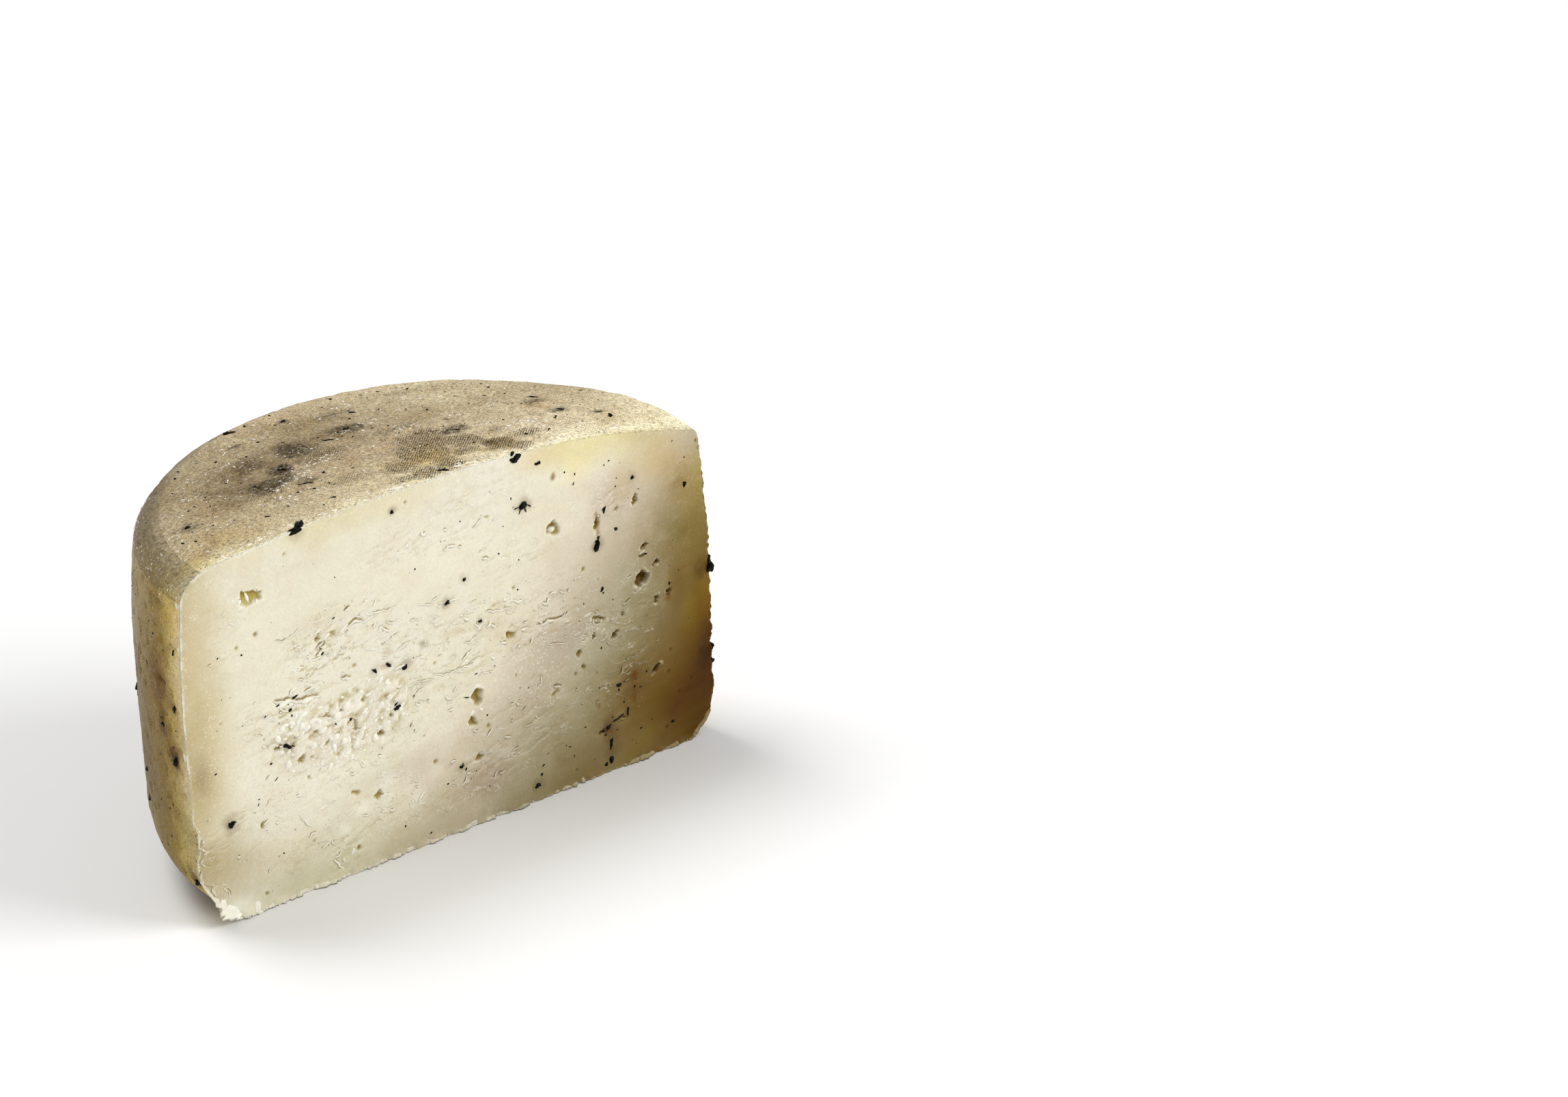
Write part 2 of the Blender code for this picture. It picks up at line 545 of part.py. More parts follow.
def cheese_material():
    """Pale ivory paste and rind, slightly waxy."""
    material = bpy.data.materials.new("cheese")
    material.use_nodes = True
    shader = material.node_tree.nodes["Principled BSDF"]
    shader.inputs["Base Color"].default_value = (0.75, 0.67, 0.48, 1)
    shader.inputs["Roughness"].default_value = 0.55
    shader.inputs["Metallic"].default_value = 0.0
    return material


def main():
    for item in list(bpy.data.objects):
        bpy.data.objects.remove(item)
    mesh = build_body()
    data = bpy.data.meshes.new("cheese_half")
    mesh.to_mesh(data)
    mesh.free()
    body = bpy.data.objects.new("cheese_half", data)
    bpy.context.scene.collection.objects.link(body)
    fuse(body, [truffle_bit(number, *bit) for number, bit in enumerate(all_bits())])
    drop_scraps(body)
    body.data.materials.clear()
    body.data.materials.append(cheese_material())
    body.data.shade_smooth()
    body.data.set_sharp_from_angle(angle=math.radians(35))


main()
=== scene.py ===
import math

import bmesh
import bpy
import numpy as np
from mathutils import Matrix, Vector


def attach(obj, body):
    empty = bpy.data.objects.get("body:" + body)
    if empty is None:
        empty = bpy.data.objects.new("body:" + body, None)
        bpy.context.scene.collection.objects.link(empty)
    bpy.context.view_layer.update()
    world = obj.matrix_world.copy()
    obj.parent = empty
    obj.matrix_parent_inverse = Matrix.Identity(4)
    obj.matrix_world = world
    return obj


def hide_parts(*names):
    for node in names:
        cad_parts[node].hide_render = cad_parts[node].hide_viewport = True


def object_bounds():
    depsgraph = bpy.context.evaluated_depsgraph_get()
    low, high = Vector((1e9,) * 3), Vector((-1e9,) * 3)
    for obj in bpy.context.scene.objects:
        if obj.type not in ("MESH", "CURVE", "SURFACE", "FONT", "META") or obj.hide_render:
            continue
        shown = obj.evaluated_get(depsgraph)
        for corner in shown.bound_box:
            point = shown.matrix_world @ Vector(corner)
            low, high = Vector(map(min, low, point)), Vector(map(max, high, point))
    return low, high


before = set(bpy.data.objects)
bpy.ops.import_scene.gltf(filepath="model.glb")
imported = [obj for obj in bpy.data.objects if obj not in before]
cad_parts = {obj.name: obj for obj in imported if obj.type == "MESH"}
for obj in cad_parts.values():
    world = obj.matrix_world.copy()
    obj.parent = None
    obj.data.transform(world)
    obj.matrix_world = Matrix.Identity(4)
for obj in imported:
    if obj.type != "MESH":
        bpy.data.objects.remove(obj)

cad_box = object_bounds()
MM = 0.001
CUT_TO_MIDDLE = 31.3  # from the cut back to the middle of the footprint


# -------------------- paste
# The paste is fresh goat's curd, packed with chopped truffle into a cloth-lined mould and left to knit.
# The knife has cut it through the middle: the face is smooth near the rind, flaky and torn in the
# middle, with open eyes, short cracks, a crumbly patch at the left and an edge of ragged crumbs.

# The wheel's form
WHEEL_RADIUS = 65.0
WHEEL_HEIGHT = 78.4
DOME_FALL = 4.2  # from the middle of the top to its rim, along the cut
DOME_FALL_BACK = 1.9  # the same, straight back
BELLY_HEIGHT = 40.0  # the wall is upright up to here
WALL_LEAN = 2.4  # how far it draws in from there to the top, beside the cut
WALL_LEAN_BACK = 4.6  # the same, at the back
BASE_ROUND = 15.5  # rounding of the lower rim, at the left of the cut
BASE_ROUND_RIGHT = 9.5
TOP_ROUND_ACROSS = 7.6  # rounding of the upper rim, at the left of the cut
TOP_ROUND_DOWN = 5.2
TOP_ROUND_SHARP = 1.5  # the same, at the right of the cut
SHARP_POWER = 1.8
WOBBLE = 0.3
SLUMP_START = 17.0  # the slumped shoulder at the right of the cut
SLUMP_DEPTH = 4.2
SLUMP_POWER = 1.5
SLUMP_REACH = 14.0

# The cut's edge
EDGE_RAG = 0.12
FINE_RAG = 0.2  # finer teeth on the same edge, strongest at its right
FOOT_RAG = 0.35
LIP_CENTRE = -56.5  # a thin flap of paste smeared forward and down at the base
LIP_HALF_LENGTH = 6.5
LIP_REACH = 1.5
LIP_HEIGHT = 4.5
CHIP = (-65.0, 19.5, 2.6, 4.5)  # a lost flake: along, up and its two radii
CHIP_LOSS = 1.6
RAG_WIDTH = 2.2  # how far in from the edge its raggedness is felt

# Open eyes: along, up, width, height, tilt in degrees, depth
EYES = [
    (-48, 66.2, 5.4, 2.9, -12, 1), (-33, 51.7, 1.9, 1.2, 10, 0.7), (-30.6, 53, 2.3, 0.9, 15, 0.7),
    (24, 59.3, 3.2, 3.2, 30, 1.8), (12, 39.3, 2.2, 1.7, 0, 1.4), (38.6, 30.9, 2.2, 1.6, 30, 1.5),
    (2.9, 28.5, 2.8, 4.2, -20, 2.4), (1.4, 23.3, 2.6, 1.9, -30, 1.6), (-39.7, 29.1, 1.7, 1.6, 0, 1.4),
    (2.5, 14.8, 2, 1.6, 30, 1.2), (46.4, 41.4, 3.4, 3.6, -30, 2.6), (47.2, 48.4, 2.2, 1.2, 25, 1.6),
    (50.3, 43.9, 2.2, 1.4, 10, 1.4), (53.3, 36.2, 1.5, 1.9, 0, 1.3), (49.3, 19.8, 2.9, 1.4, 35, 1.2),
    (45.2, 59.5, 1.6, 2.2, -30, 1.1), (29.1, 29.5, 1.5, 1.5, 0, 0.8), (-26.7, 32.2, 1.2, 2.7, -8, 1.6),
    (-20.9, 28.3, 2.1, 1.3, 0, 1.3), (35.2, 57.2, 1.2, 3.6, -20, 1), (-27.6, 17.4, 2.2, 1.1, -15, 1),
    (-22.5, 15.1, 2, 2, 25, 1.2), (30, 26.3, 1.3, 1.2, 0, 0.8), (-49.6, 18, 1, 1.8, -25, 1),
    (40.3, 58.8, 1.3, 0.8, 20, 0.6), (7.7, 66.6, 1, 0.8, 0, 0.6), (34.6, 35.9, 3.4, 0.8, -25, 0.9),
    (22.6, 22.8, 2.2, 0.9, 20, 0.8), (31, 48, 1.5, 0.8, 30, 0.6), (33.2, 32.4, 1.1, 1.5, 10, 0.7),
    (50, 35.6, 1, 2.6, -15, 1), (46.7, 46.6, 1.9, 0.9, 15, 1.1), (-33.8, 53, 1.5, 1.3, 40, 1),
    (-44.6, 33.4, 1.6, 1.1, 20, 1.1), (-33.5, 30.5, 1.3, 0.8, 30, 0.9), (-29.8, 36.5, 1.3, 0.6, 10, 0.8),
    (-24.5, 37, 1, 0.7, -40, 0.8), (-36, 33.8, 1.2, 0.6, 15, 0.8), (-18.2, 31.5, 0.9, 0.7, 50, 0.8),
    (-31.2, 27.3, 1.2, 0.6, 20, 0.8),
]
EYE_WALL = 0.1  # share of an eye's radius taken by its wall

# Tears that the knife has left: depth, and the line from left to right as places along and up
TEARS = [
    (0.7, -44.8, 43.5, -43.7, 42.9, -41.3, 42.6, -39, 41.4, -37.2, 41.7, -34.8, 41.3),
    (0.45, -41.4, 43.2, -40.7, 44.4, -39, 44.9), (0.7, -34.4, 49.6, -32.7, 50.7, -32.1, 51.6),
    (0.5, -27, 53.4, -25.7, 54.1, -24.5, 54.2, -23, 53.4), (0.5, -27.4, 56.8, -25.8, 57.6),
    (0.4, -24.4, 55.6, -21.7, 54.6, -17.7, 54.3, -15.2, 54.4), (0.4, -43.7, 55.9, -40.8, 55.2, -37.7, 56.5),
    (0.35, -19.5, 47, -16.9, 47.9, -14.3, 49.3), (0.3, -24.1, 47.9, -20.4, 47, -19.2, 46.8),
    (0.3, -23, 39.1, -19, 37.2, -15.9, 36.4, -11.5, 36.7, -5.8, 35.4),
    (0.35, -7.9, 37.4, -5.1, 36, -1.9, 36, 1.4, 36.2, 3.5, 35.5), (0.3, -0.2, 41.7, 1.7, 41.1, 4, 41.8),
    (0.3, -10.3, 52.9, -7.8, 52.4, -5.9, 51.9), (0.25, -0.9, 50.5, 1.6, 49.6, 4.5, 49.7),
    (0.3, -44.3, 48.9, -41.5, 47.7, -40.4, 49), (0.45, -38.3, 48.9, -36.8, 49.5, -34.4, 49.3, -32.9, 49.4),
    (0.5, -29.4, 42.9, -27.9, 43.2, -26.7, 42.6), (0.3, -13.8, 31.7, -11.7, 34.4, -9.7, 35.2),
    (0.4, -2.9, 31.5, -2.1, 32.5, -1.2, 32.7), (0.5, -35.2, 36.9, -32.5, 35.7, -30.3, 36.1),
    (0.3, -40.8, 38.5, -39.3, 38.3), (0.4, -12.4, 50.3, -10.8, 50.2),
    (0.35, -17.9, 52, -16.7, 51.2, -15.4, 51),
    (0.6, 18.7, 39.5, 20, 39.2, 21.4, 39.7, 24.1, 39.1, 25.8, 39.3), (0.35, 20.4, 34.5, 23.4, 34, 26.1, 33),
    (0.25, 3.4, 33, 5.4, 33.2, 7.6, 33.1), (0.6, 33.3, 36.3, 33.4, 35.4, 34.1, 34.8, 35.1, 34.7),
    (0.35, 19.1, 28.7, 19.3, 26.3), (0.5, 21.9, 24.5, 24.2, 23.9),
    (0.4, 17.2, 19.5, 18.1, 18.6, 18.5, 18.8), (0.5, 38.1, 10.9, 39.2, 11.3, 40.9, 10.9),
    (0.3, 36.3, 30.6, 37.6, 28.4), (0.4, 28.8, 33.3, 31.2, 33.3, 33.3, 32.8),
    (0.4, 2.8, 46.4, 5, 46.9, 8.4, 45.9, 13, 45.2), (0.3, -16, 45, -13.2, 45.9, -10.5, 45.6),
    (0.4, -34.1, 5.2, -33, 3.8, -31.7, 1.3), (0.3, -34, 5.3, -32.9, 5.2, -31.9, 6.2),
    (0.3, -49.3, 7.2, -49.2, 7.9, -48, 8.8), (0.3, -46.8, 9.8, -45.9, 10),
    (0.4, -41.1, 17.2, -39.5, 15, -38.1, 13.8), (0.3, -62, 23.1, -61.5, 23.2, -61.6, 24.2),
    (0.3, -64.6, 23.3, -63.6, 21.4, -63.9, 18.6, -62.3, 17.2, -62.4, 16.4, -63.7, 16.1),
    (0.3, -64, 15.2, -63.1, 14.1), (0.25, -64.1, 13.5, -64.3, 10.6), (0.3, -62.2, 9.4, -61.3, 6.6),
    (0.4, -59.7, 8.5, -58.3, 6.6, -58.6, 5.3), (0.3, -36, 16.6, -34, 17.6, -32.4, 17.3),
]
SMALL_TEARS = 260  # more of them, half to three millimetres long, in the torn areas
TEAR_GROOVE = 0.36  # how far each side of its middle the groove above a tear's lip reaches

# Where the knife has torn the paste: along, up, radius along, radius up, strength
TORN_AREAS = [
    (-34, 50, 14, 10, 1), (-22, 52, 12, 8, 0.7), (2, 45, 26, 9, 0.9), (-4, 37, 26, 8, 0.9),
    (-42, 38, 13, 7, 0.9), (22, 41, 16, 8, 0.8), (34, 35, 9, 6, 0.7), (-27, 29, 20, 10, 0.8),
    (14, 57, 14, 7, 0.35), (38, 61, 9, 6, 0.5), (-45, 20, 18, 9, 0.35), (-22, 12, 16, 7, 0.45),
    (14, 20, 20, 12, 0.5), (36, 20, 10, 8, 0.5), (-54, 60, 7, 10, 0.35), (2, 72, 20, 5, 0.4),
    (-31, 5, 6, 4, 0.8), (-62, 14, 4, 12, 0.6), (44, 40, 7, 8, 0.4), (-38, 10, 13, 6, 0.6),
    (6, 12, 15, 7, 0.65), (-12, 8, 15, 4, 0.5), (-8, 66, 24, 7, 0.35), (-18, 14, 10, 6, 0.8),
    (44, 28, 8, 12, 0.45),
]
FLAKE_LIP = 0.17  # how far a torn flake stands up at its edge
FLAKE_GROOVE = 0.2  # and how deep the groove beside it is

CRUMBLE_CENTRE = (-30.0, 33.0)
CRUMBLE_RADII = (16.5, 8.5)
CRUMBLE_DEPTH = 0.4
PINHOLES = 36
KNIFE_WAVE = 0.1

WAVE_COUNT = 7  # sine waves in each uneven surface
HASH_PRIMES = (73856093, 19349663, 83492791)
PASTE_COLUMNS = 384
PASTE_ROWS = 236
PASTE_INSET = 0.05  # the paste starts this far inside the rind's outer face
PASTE_BACK = 7.0  # how far the skin of paste reaches back inside the rind's solid
# Rings that close the skin of paste behind the cut: how far back, and their size
PASTE_RINGS = ((0.9, 0.9985), (2.6, 0.994), (PASTE_BACK, 0.985), (PASTE_BACK, 0.6))
OUTLINE_POINTS = 330  # points on each side of the outline, to measure distances from it
EDGE_ROUND = 0.02  # the cut's edge is slightly rounded, as on a soft cheese
EDGE_ROUND_WIDTH = 0.6
CUT_MIDDLE = np.array([0, 0, 0.5 * WHEEL_HEIGHT])


def waves(x, y, z, length, seed):
    """Smooth unevenness of about -1 to 1: the mean of sine waves of one length in random directions."""
    draw = np.random.default_rng(seed)
    total = 0.0
    for _ in range(WAVE_COUNT):
        direction = draw.normal(size=3)
        direction *= 2 * math.pi / (length * np.linalg.norm(direction) * draw.uniform(0.75, 1.4))
        total = total + np.sin(direction[0] * x + direction[1] * y + direction[2] * z + draw.uniform(0, 6.3))
    return total * (1.7 / WAVE_COUNT)


def grain(x, y, z, size, seed, octaves=1):
    """Random field of about -1 to 1: random numbers at the corners of cubes, blended smoothly between them.

    Each further octave has half the size and half the strength.
    """
    total = 0.0
    for octave in range(octaves):
        step = size / 2 ** octave
        places = [np.asarray(v, float) / step + 91.7 * (octave + 1) for v in (x, y, z)]
        low = [np.floor(v).astype(np.int64) for v in places]
        share = [v - base for v, base in zip(places, low)]
        share = [s * s * (3 - 2 * s) for s in share]
        field = 0.0
        for corner in range(8):
            bits = [(corner >> axis) & 1 for axis in range(3)]
            key = sum((base + bit) * prime for base, bit, prime in zip(low, bits, HASH_PRIMES))
            key = (key + (seed + octave) * 7919) & 0xFFFFFFFF
            for shift, prime in ((15, 2246822519), (13, 3266489917)):
                key = ((key ^ (key >> shift)) * prime) & 0xFFFFFFFF
            value = ((key ^ (key >> 16)) & 0xFFFF) / 32767.5 - 1
            weight = 1.0
            for s, bit in zip(share, bits):
                weight = weight * (s if bit else 1 - s)
            field = field + value * weight
        total = total + field * 0.5 ** octave
    return total / (2 - 0.5 ** (octaves - 1)) * 1.6


def bump(distance):
    """1 at distance 0, falling smoothly to 0 at distance 1."""
    return np.clip(1 - np.asarray(distance) ** 2, 0, None) ** 2


def ease(value, start, end):
    """0 before start, 1 after end, with a smooth rise between them."""
    share = np.clip((np.asarray(value, float) - start) / (end - start), 0, 1)
    return share * share * (3 - 2 * share)


def columns(*numbers):
    """Numbers side by side, along a new last axis."""
    return np.stack(numbers, axis=-1)


def unit(vectors):
    """The same directions, each one long."""
    return vectors / np.linalg.norm(vectors, axis=-1)[..., None]


def between(ends, share):
    """A value between two ends: the first where the share is 0, the second where it is 1."""
    return ends[0] + (ends[1] - ends[0]) * share


def blot(first, second, place, raggedness=0, tightness=1):
    """A soft ragged patch: bump of the distance from its middle, in units of its two radii."""
    a, b, wide, high = place
    away = np.hypot((first - a) / wide, (second - b) / high) * tightness + raggedness
    return bump(np.clip(away, 0, None))


def settle(x, y, z):
    """Lower a drum of full height to the domed top and the slumped shoulder, in proportion to height."""
    dome = (DOME_FALL * x ** 2 + DOME_FALL_BACK * y ** 2) / WHEEL_RADIUS ** 2
    along = np.clip((x - SLUMP_START) / (WHEEL_RADIUS - SLUMP_START), 0, None)
    slump = SLUMP_DEPTH * along ** SLUMP_POWER * np.exp(-y / SLUMP_REACH)
    uneven = WOBBLE * waves(x, y, 0, 38, 3)
    return z - (dome + slump + uneven) * np.clip(z / WHEEL_HEIGHT, 0, 1) ** 1.5


def drum_radius(turn, z):
    """Radius of the wall: widest up to the belly, drawn in above it, and a little uneven."""
    share = np.clip(z - BELLY_HEIGHT, 0, None) / (WHEEL_HEIGHT - BELLY_HEIGHT)
    lean = (WALL_LEAN + (WALL_LEAN_BACK - WALL_LEAN) * np.sin(turn) ** 2) * share ** 2
    uneven = WOBBLE * waves(np.cos(turn) * WHEEL_RADIUS, np.sin(turn) * WHEEL_RADIUS, z, 45, 5)
    return WHEEL_RADIUS - lean - (uneven + WOBBLE) * np.sin(2 * turn) ** 2


def wall_point(turn, run):
    """Point on the wall: run goes 0 to 1 down the upper rounding, 1 to 2 down the wall, 2 to 3 under it."""
    turn = np.asarray(turn, float)
    run = np.asarray(run, float)
    right = (1 + np.cos(turn)) / 2
    across = TOP_ROUND_ACROSS + (TOP_ROUND_SHARP - TOP_ROUND_ACROSS) * right ** SHARP_POWER
    down = TOP_ROUND_DOWN + (TOP_ROUND_SHARP - TOP_ROUND_DOWN) * right ** SHARP_POWER
    foot = BASE_ROUND + (BASE_ROUND_RIGHT - BASE_ROUND) * right
    top_z = WHEEL_HEIGHT - down
    upper = np.clip(run, 0, 1) * math.pi / 2
    middle = np.clip(run - 1, 0, 1)
    lower = np.clip(run - 2, 0, 1) * math.pi / 2
    z = np.where(run < 1, top_z + down * np.cos(upper), top_z + (foot - top_z) * middle)
    z = np.where(run > 2, foot * (1 - np.sin(lower)), z)
    inset = across * (1 - np.sin(upper)) + foot * (1 - np.cos(lower))
    radius = drum_radius(turn, z) - inset
    x = radius * np.cos(turn)
    y = radius * np.sin(turn)
    return columns(x, y, settle(x, y, z))


def top_point(x, y):
    """Point on the domed top."""
    return columns(x, y, settle(x, y, np.full_like(x, WHEEL_HEIGHT)))


def ragged(points, away):
    """Break the cut's edge: notches and teeth along it, a smeared lip on the base and a lost flake.

    away is each point's distance from the edge, over which the breaks fade out.
    """
    x, y, z = np.moveaxis(points, -1, 0)
    near = bump(away / RAG_WIDTH)
    at_foot = bump(z / 3)
    right = ease(x, 30, 62) + 0.35
    teeth = FINE_RAG * right * (0.6 + grain(x, 0, z, 0.85, 23, 2)) * bump(away / (0.4 * RAG_WIDTH))
    notch = EDGE_RAG * (1 + waves(x, 0, z, 6, 21)) * (1 - at_foot) * near
    notch = np.maximum(notch + teeth, 0)
    flake = blot(x, z, CHIP) * (1 + 0.5 * grain(x, 0, z, 1.2, 26, 2))
    inward = unit(columns(-x, 0 * x, 0.5 * WHEEL_HEIGHT - z))
    moved = points + inward * notch[..., None]
    moved[..., 0] += CHIP_LOSS * flake * near
    frill = 1 + waves(x, 0, z, 5, 22) + 0.8 * grain(x, 0, z, 1.3, 24)
    moved[..., 1] += notch * 0.5 - FOOT_RAG * at_foot * near * np.clip(frill, 0, 2.4) * 0.8
    lip = bump((x - LIP_CENTRE) / LIP_HALF_LENGTH) * bump(z / LIP_HEIGHT) * near
    moved[..., 1] -= (LIP_REACH - FOOT_RAG) * lip
    moved[..., 2] *= 1 - 0.8 * lip
    return moved


def even(line, count):
    """The same line as evenly spaced points: each coordinate interpolated over the distance run."""
    run = np.concatenate([[0], np.cumsum(np.linalg.norm(np.diff(line, axis=0), axis=1))])
    at = np.linspace(0, run[-1], count)
    return np.stack([np.interp(at, run, line[:, axis]) for axis in range(line.shape[1])], axis=-1)


def spread_between(bottom, top, left, right):
    """Coons patch: the two blends of facing edges added, less the blend of the four corners."""
    u = np.linspace(0, 1, len(bottom))[None, :, None]
    v = np.linspace(0, 1, len(left))[:, None, None]
    across = (1 - v) * bottom[None] + v * top[None]
    upward = (1 - u) * left[:, None] + u * right[:, None]
    low = (1 - u) * bottom[0] + u * bottom[-1]
    high = (1 - u) * top[0] + u * top[-1]
    return across + upward - (1 - v) * low - v * high


def cut_outline(inset):
    """The cut's outline in four sides (base, top, left, right), split in the middle of its roundings.

    Each point is moved inward, square to the outline, by the inset.
    """
    def profile(turn, start, end, count):
        run = np.linspace(start, end, count)
        return wall_point(np.full_like(run, turn), run)[:, [0, 2]]

    top_left = profile(math.pi, 0.5, 0, 20)
    top_right = profile(0, 0, 0.5, 20)
    top_x = np.linspace(top_left[-1, 0], top_right[0, 0], 200)[1:-1]
    top = np.concatenate([top_left, top_point(top_x, 0 * top_x)[:, [0, 2]], top_right])
    base_left = profile(math.pi, 2.5, 3, 20)
    base_right = profile(0, 3, 2.5, 20)
    base_x = np.linspace(base_left[-1, 0], base_right[0, 0], 200)[1:-1]
    base = np.concatenate([base_left, columns(base_x, 0 * base_x), base_right])
    left = profile(math.pi, 2.5, 0.5, 200)
    right = profile(0, 2.5, 0.5, 200)
    loop = np.concatenate([base[:-1], right[:-1], top[:0:-1], left[:0:-1]])
    ahead = unit(np.roll(loop, -1, axis=0) - np.roll(loop, 1, axis=0))
    loop = loop + inset * columns(-ahead[:, 1], ahead[:, 0])
    marks = np.cumsum([0, len(base) - 1, len(right) - 1, len(top) - 1, len(left) - 1])
    closed = np.concatenate([loop, loop[:1]])
    base, right, top, left = (closed[start:end + 1] for start, end in zip(marks[:-1], marks[1:]))
    return base, top[::-1], left[::-1], right


def eye_hollows(x, z):
    """Depth of the eyes, how far inside one each point is (the share of the eyes' olive colour and painted
    shade, more towards the top), and how near to a torn rim.

    An eye's rim is a polygon of four to six sides, stretched to its width and height and roughened by
    random teeth; its wall is steep, and its flat floor is deepest at the top.
    """
    depth = np.zeros_like(x)
    inside = np.zeros_like(x)
    rims = np.zeros_like(x)
    rough = grain(x, 0, z, 0.7, 41, 2)
    lumpy = grain(x, 0, z, 0.9, 42, 2)
    for number, (along, up, width, height, tilt, deep) in enumerate(EYES):
        near = np.hypot(x - along, z - up) < max(width, height)
        lean = math.radians(tilt)
        a = ((x[near] - along) * math.cos(lean) + (z[near] - up) * math.sin(lean)) / (width / 2)
        b = ((z[near] - up) * math.cos(lean) - (x[near] - along) * math.sin(lean)) / (height / 2)
        turn = np.arctan2(b, a)
        draw = np.random.default_rng(900 + number)
        corner = 2 * math.pi / int(draw.integers(4, 7))
        off_middle = (turn + draw.uniform(0, 6.3)) % corner - corner / 2
        rim = 1.1 * math.cos(corner / 2) / np.cos(off_middle) * (1 + 0.16 * rough[near])
        for wave, strength in ((2, 0.12), (3, 0.10)):
            rim = rim + strength * np.sin(wave * turn + draw.uniform(0, 6.3))
        reach = np.hypot(a, b)
        share = ease(rim - reach, 0, EYE_WALL)
        slope = np.clip(0.9 * b - 0.4 * a, -1, 1)
        floor = 0.75 + 0.3 * slope + 0.06 * lumpy[near]
        depth[near] = np.maximum(depth[near], deep * share * floor)
        # the olive share grows towards the eye's top, where painted shade is deepest
        inside[near] = np.maximum(inside[near], share * (0.72 + 0.3 * slope) * min(1.0, deep / 1.1))
        torn_rim = bump((reach - rim - 0.14) / 0.26) * (0.6 + 0.8 * lumpy[near]).clip(0, 1)
        rims[near] = np.maximum(rims[near], torn_rim)
    return depth, np.clip(inside, 0, 1), rims


def tear_line(path):
    """A tear as closely spaced points, pushed off its straight course by a random field."""
    path = np.array(path, float).reshape(-1, 2)
    length = np.linalg.norm(np.diff(path, axis=0), axis=1).sum()
    line = even(path, max(7, int(length / 0.13)))
    x, z = line.T
    push = columns(grain(x, 0, z, 0.9, 501, 2), grain(x, 0, z, 0.7, 502, 3))
    return line + 0.26 * push


def cracks(x, z):
    """Depth of the grooves that run just above the deeper tears, shallower at their ends."""
    depth = np.zeros_like(x)
    for deep, *path in TEARS:
        if deep < 0.5:
            continue
        line = tear_line(path) + [0, 0.17]
        low, high = line.min(axis=0) - 0.5, line.max(axis=0) + 0.5
        near = (x > low[0]) & (x < high[0]) & (z > low[1]) & (z < high[1])
        if not near.any():
            continue
        gap = np.hypot(x[near][:, None] - line[:, 0], z[near][:, None] - line[:, 1])
        along = gap.argmin(axis=1) / (len(line) - 1)
        groove = np.clip(1 - gap.min(axis=1) / TEAR_GROOVE, 0, 1)
        groove = groove * np.sqrt(np.clip(4 * along * (1 - along), 0, 1))
        depth[near] = np.maximum(depth[near], 0.7 * deep * groove)
    return depth


def torn_share(x, z):
    """How torn each place is: the strongest of the torn areas, with ragged borders."""
    share = np.zeros_like(x)
    border = 0.3 * grain(x, 0, z, 5, 60, 2)
    for along, up, wide, high, strength in TORN_AREAS:
        away = np.hypot((x - along) / wide, (z - up) / high) + border
        share = np.maximum(share, strength * bump(np.clip(away * 0.8, 0, None)))
    return share


def flake_edges(x, z, size, seed, lean):
    """Relief of torn flakes: a thin lip that stands up, with a narrow groove along its upper edge.

    The tears are the lines where a random field, stretched along its lean, is zero; the distance to
    them is the field over its own slope.  Steep lines and a coarser field break the tears up.
    """
    def field(across, upward):
        run = across * math.cos(lean) + upward * math.sin(lean)
        over = upward * math.cos(lean) - across * math.sin(lean)
        return grain(run * 0.45, 0, over, size, seed, 3)

    here = field(x, z)
    gap = 0.12
    rising = (field(x, z + gap) - here) / gap
    slope = np.hypot((field(x + gap, z) - here) / gap, rising)
    below = -here * np.sign(rising) / np.maximum(slope, 0.5 / size)
    level = ease(abs(rising) / np.maximum(slope, 1e-6), 0.35, 0.75)
    broken = ease(grain(x * 0.5, 0, z, 1.1 * size, seed + 10, 2), -0.15, 0.4) * level
    lip = -FLAKE_LIP * np.exp(-np.clip(below, 0, None) / 0.9) * ease(below, -0.1, 0.15)
    groove = FLAKE_GROOVE * np.exp(np.clip(below, None, 0) / 0.25) * ease(-below, -0.1, 0.1)
    return (lip + groove) * broken


def spots(x, z, count, seed, size, low, high):
    """Round spots scattered over the cut: a dome at each place, with a height drawn between low and high."""
    field = np.zeros_like(x)
    draw = np.random.default_rng(seed)
    for _ in range(count):
        along = draw.uniform(-63, 63)
        up = draw.uniform(2, 76)
        radius = draw.uniform(*size)
        height = draw.uniform(low, high)
        near = (abs(x - along) < radius) & (abs(z - up) < radius)
        field[near] = np.maximum(field[near], height * bump(np.hypot(x[near] - along, z[near] - up) / radius))
    return field


def crumble(x, z):
    """The crumbly patch: rounded lumps with creases between them, where random fields pass through zero."""
    across = (x - CRUMBLE_CENTRE[0]) / CRUMBLE_RADII[0]
    upward = (z - CRUMBLE_CENTRE[1]) / CRUMBLE_RADII[1]
    ragged_rim = 0.35 * grain(x, 0, z, 5.5, 71, 3)
    patch = ease(1.0 - np.hypot(across, upward) + ragged_rim, 0, 0.5)
    patch = patch * (0.4 + 0.6 * ease(grain(x, 0, z, 6, 72), -0.4, 0.3))
    lumps = 0.0
    for size, strength, seed in ((3.4, 0.9, 73), (1.7, 0.6, 74), (0.8, 0.5, 75)):
        lumps = lumps + strength * abs(grain(x * 0.75, 0, z - 0.2 * x, size, seed))
    return patch * CRUMBLE_DEPTH * (0.5 - lumps), patch


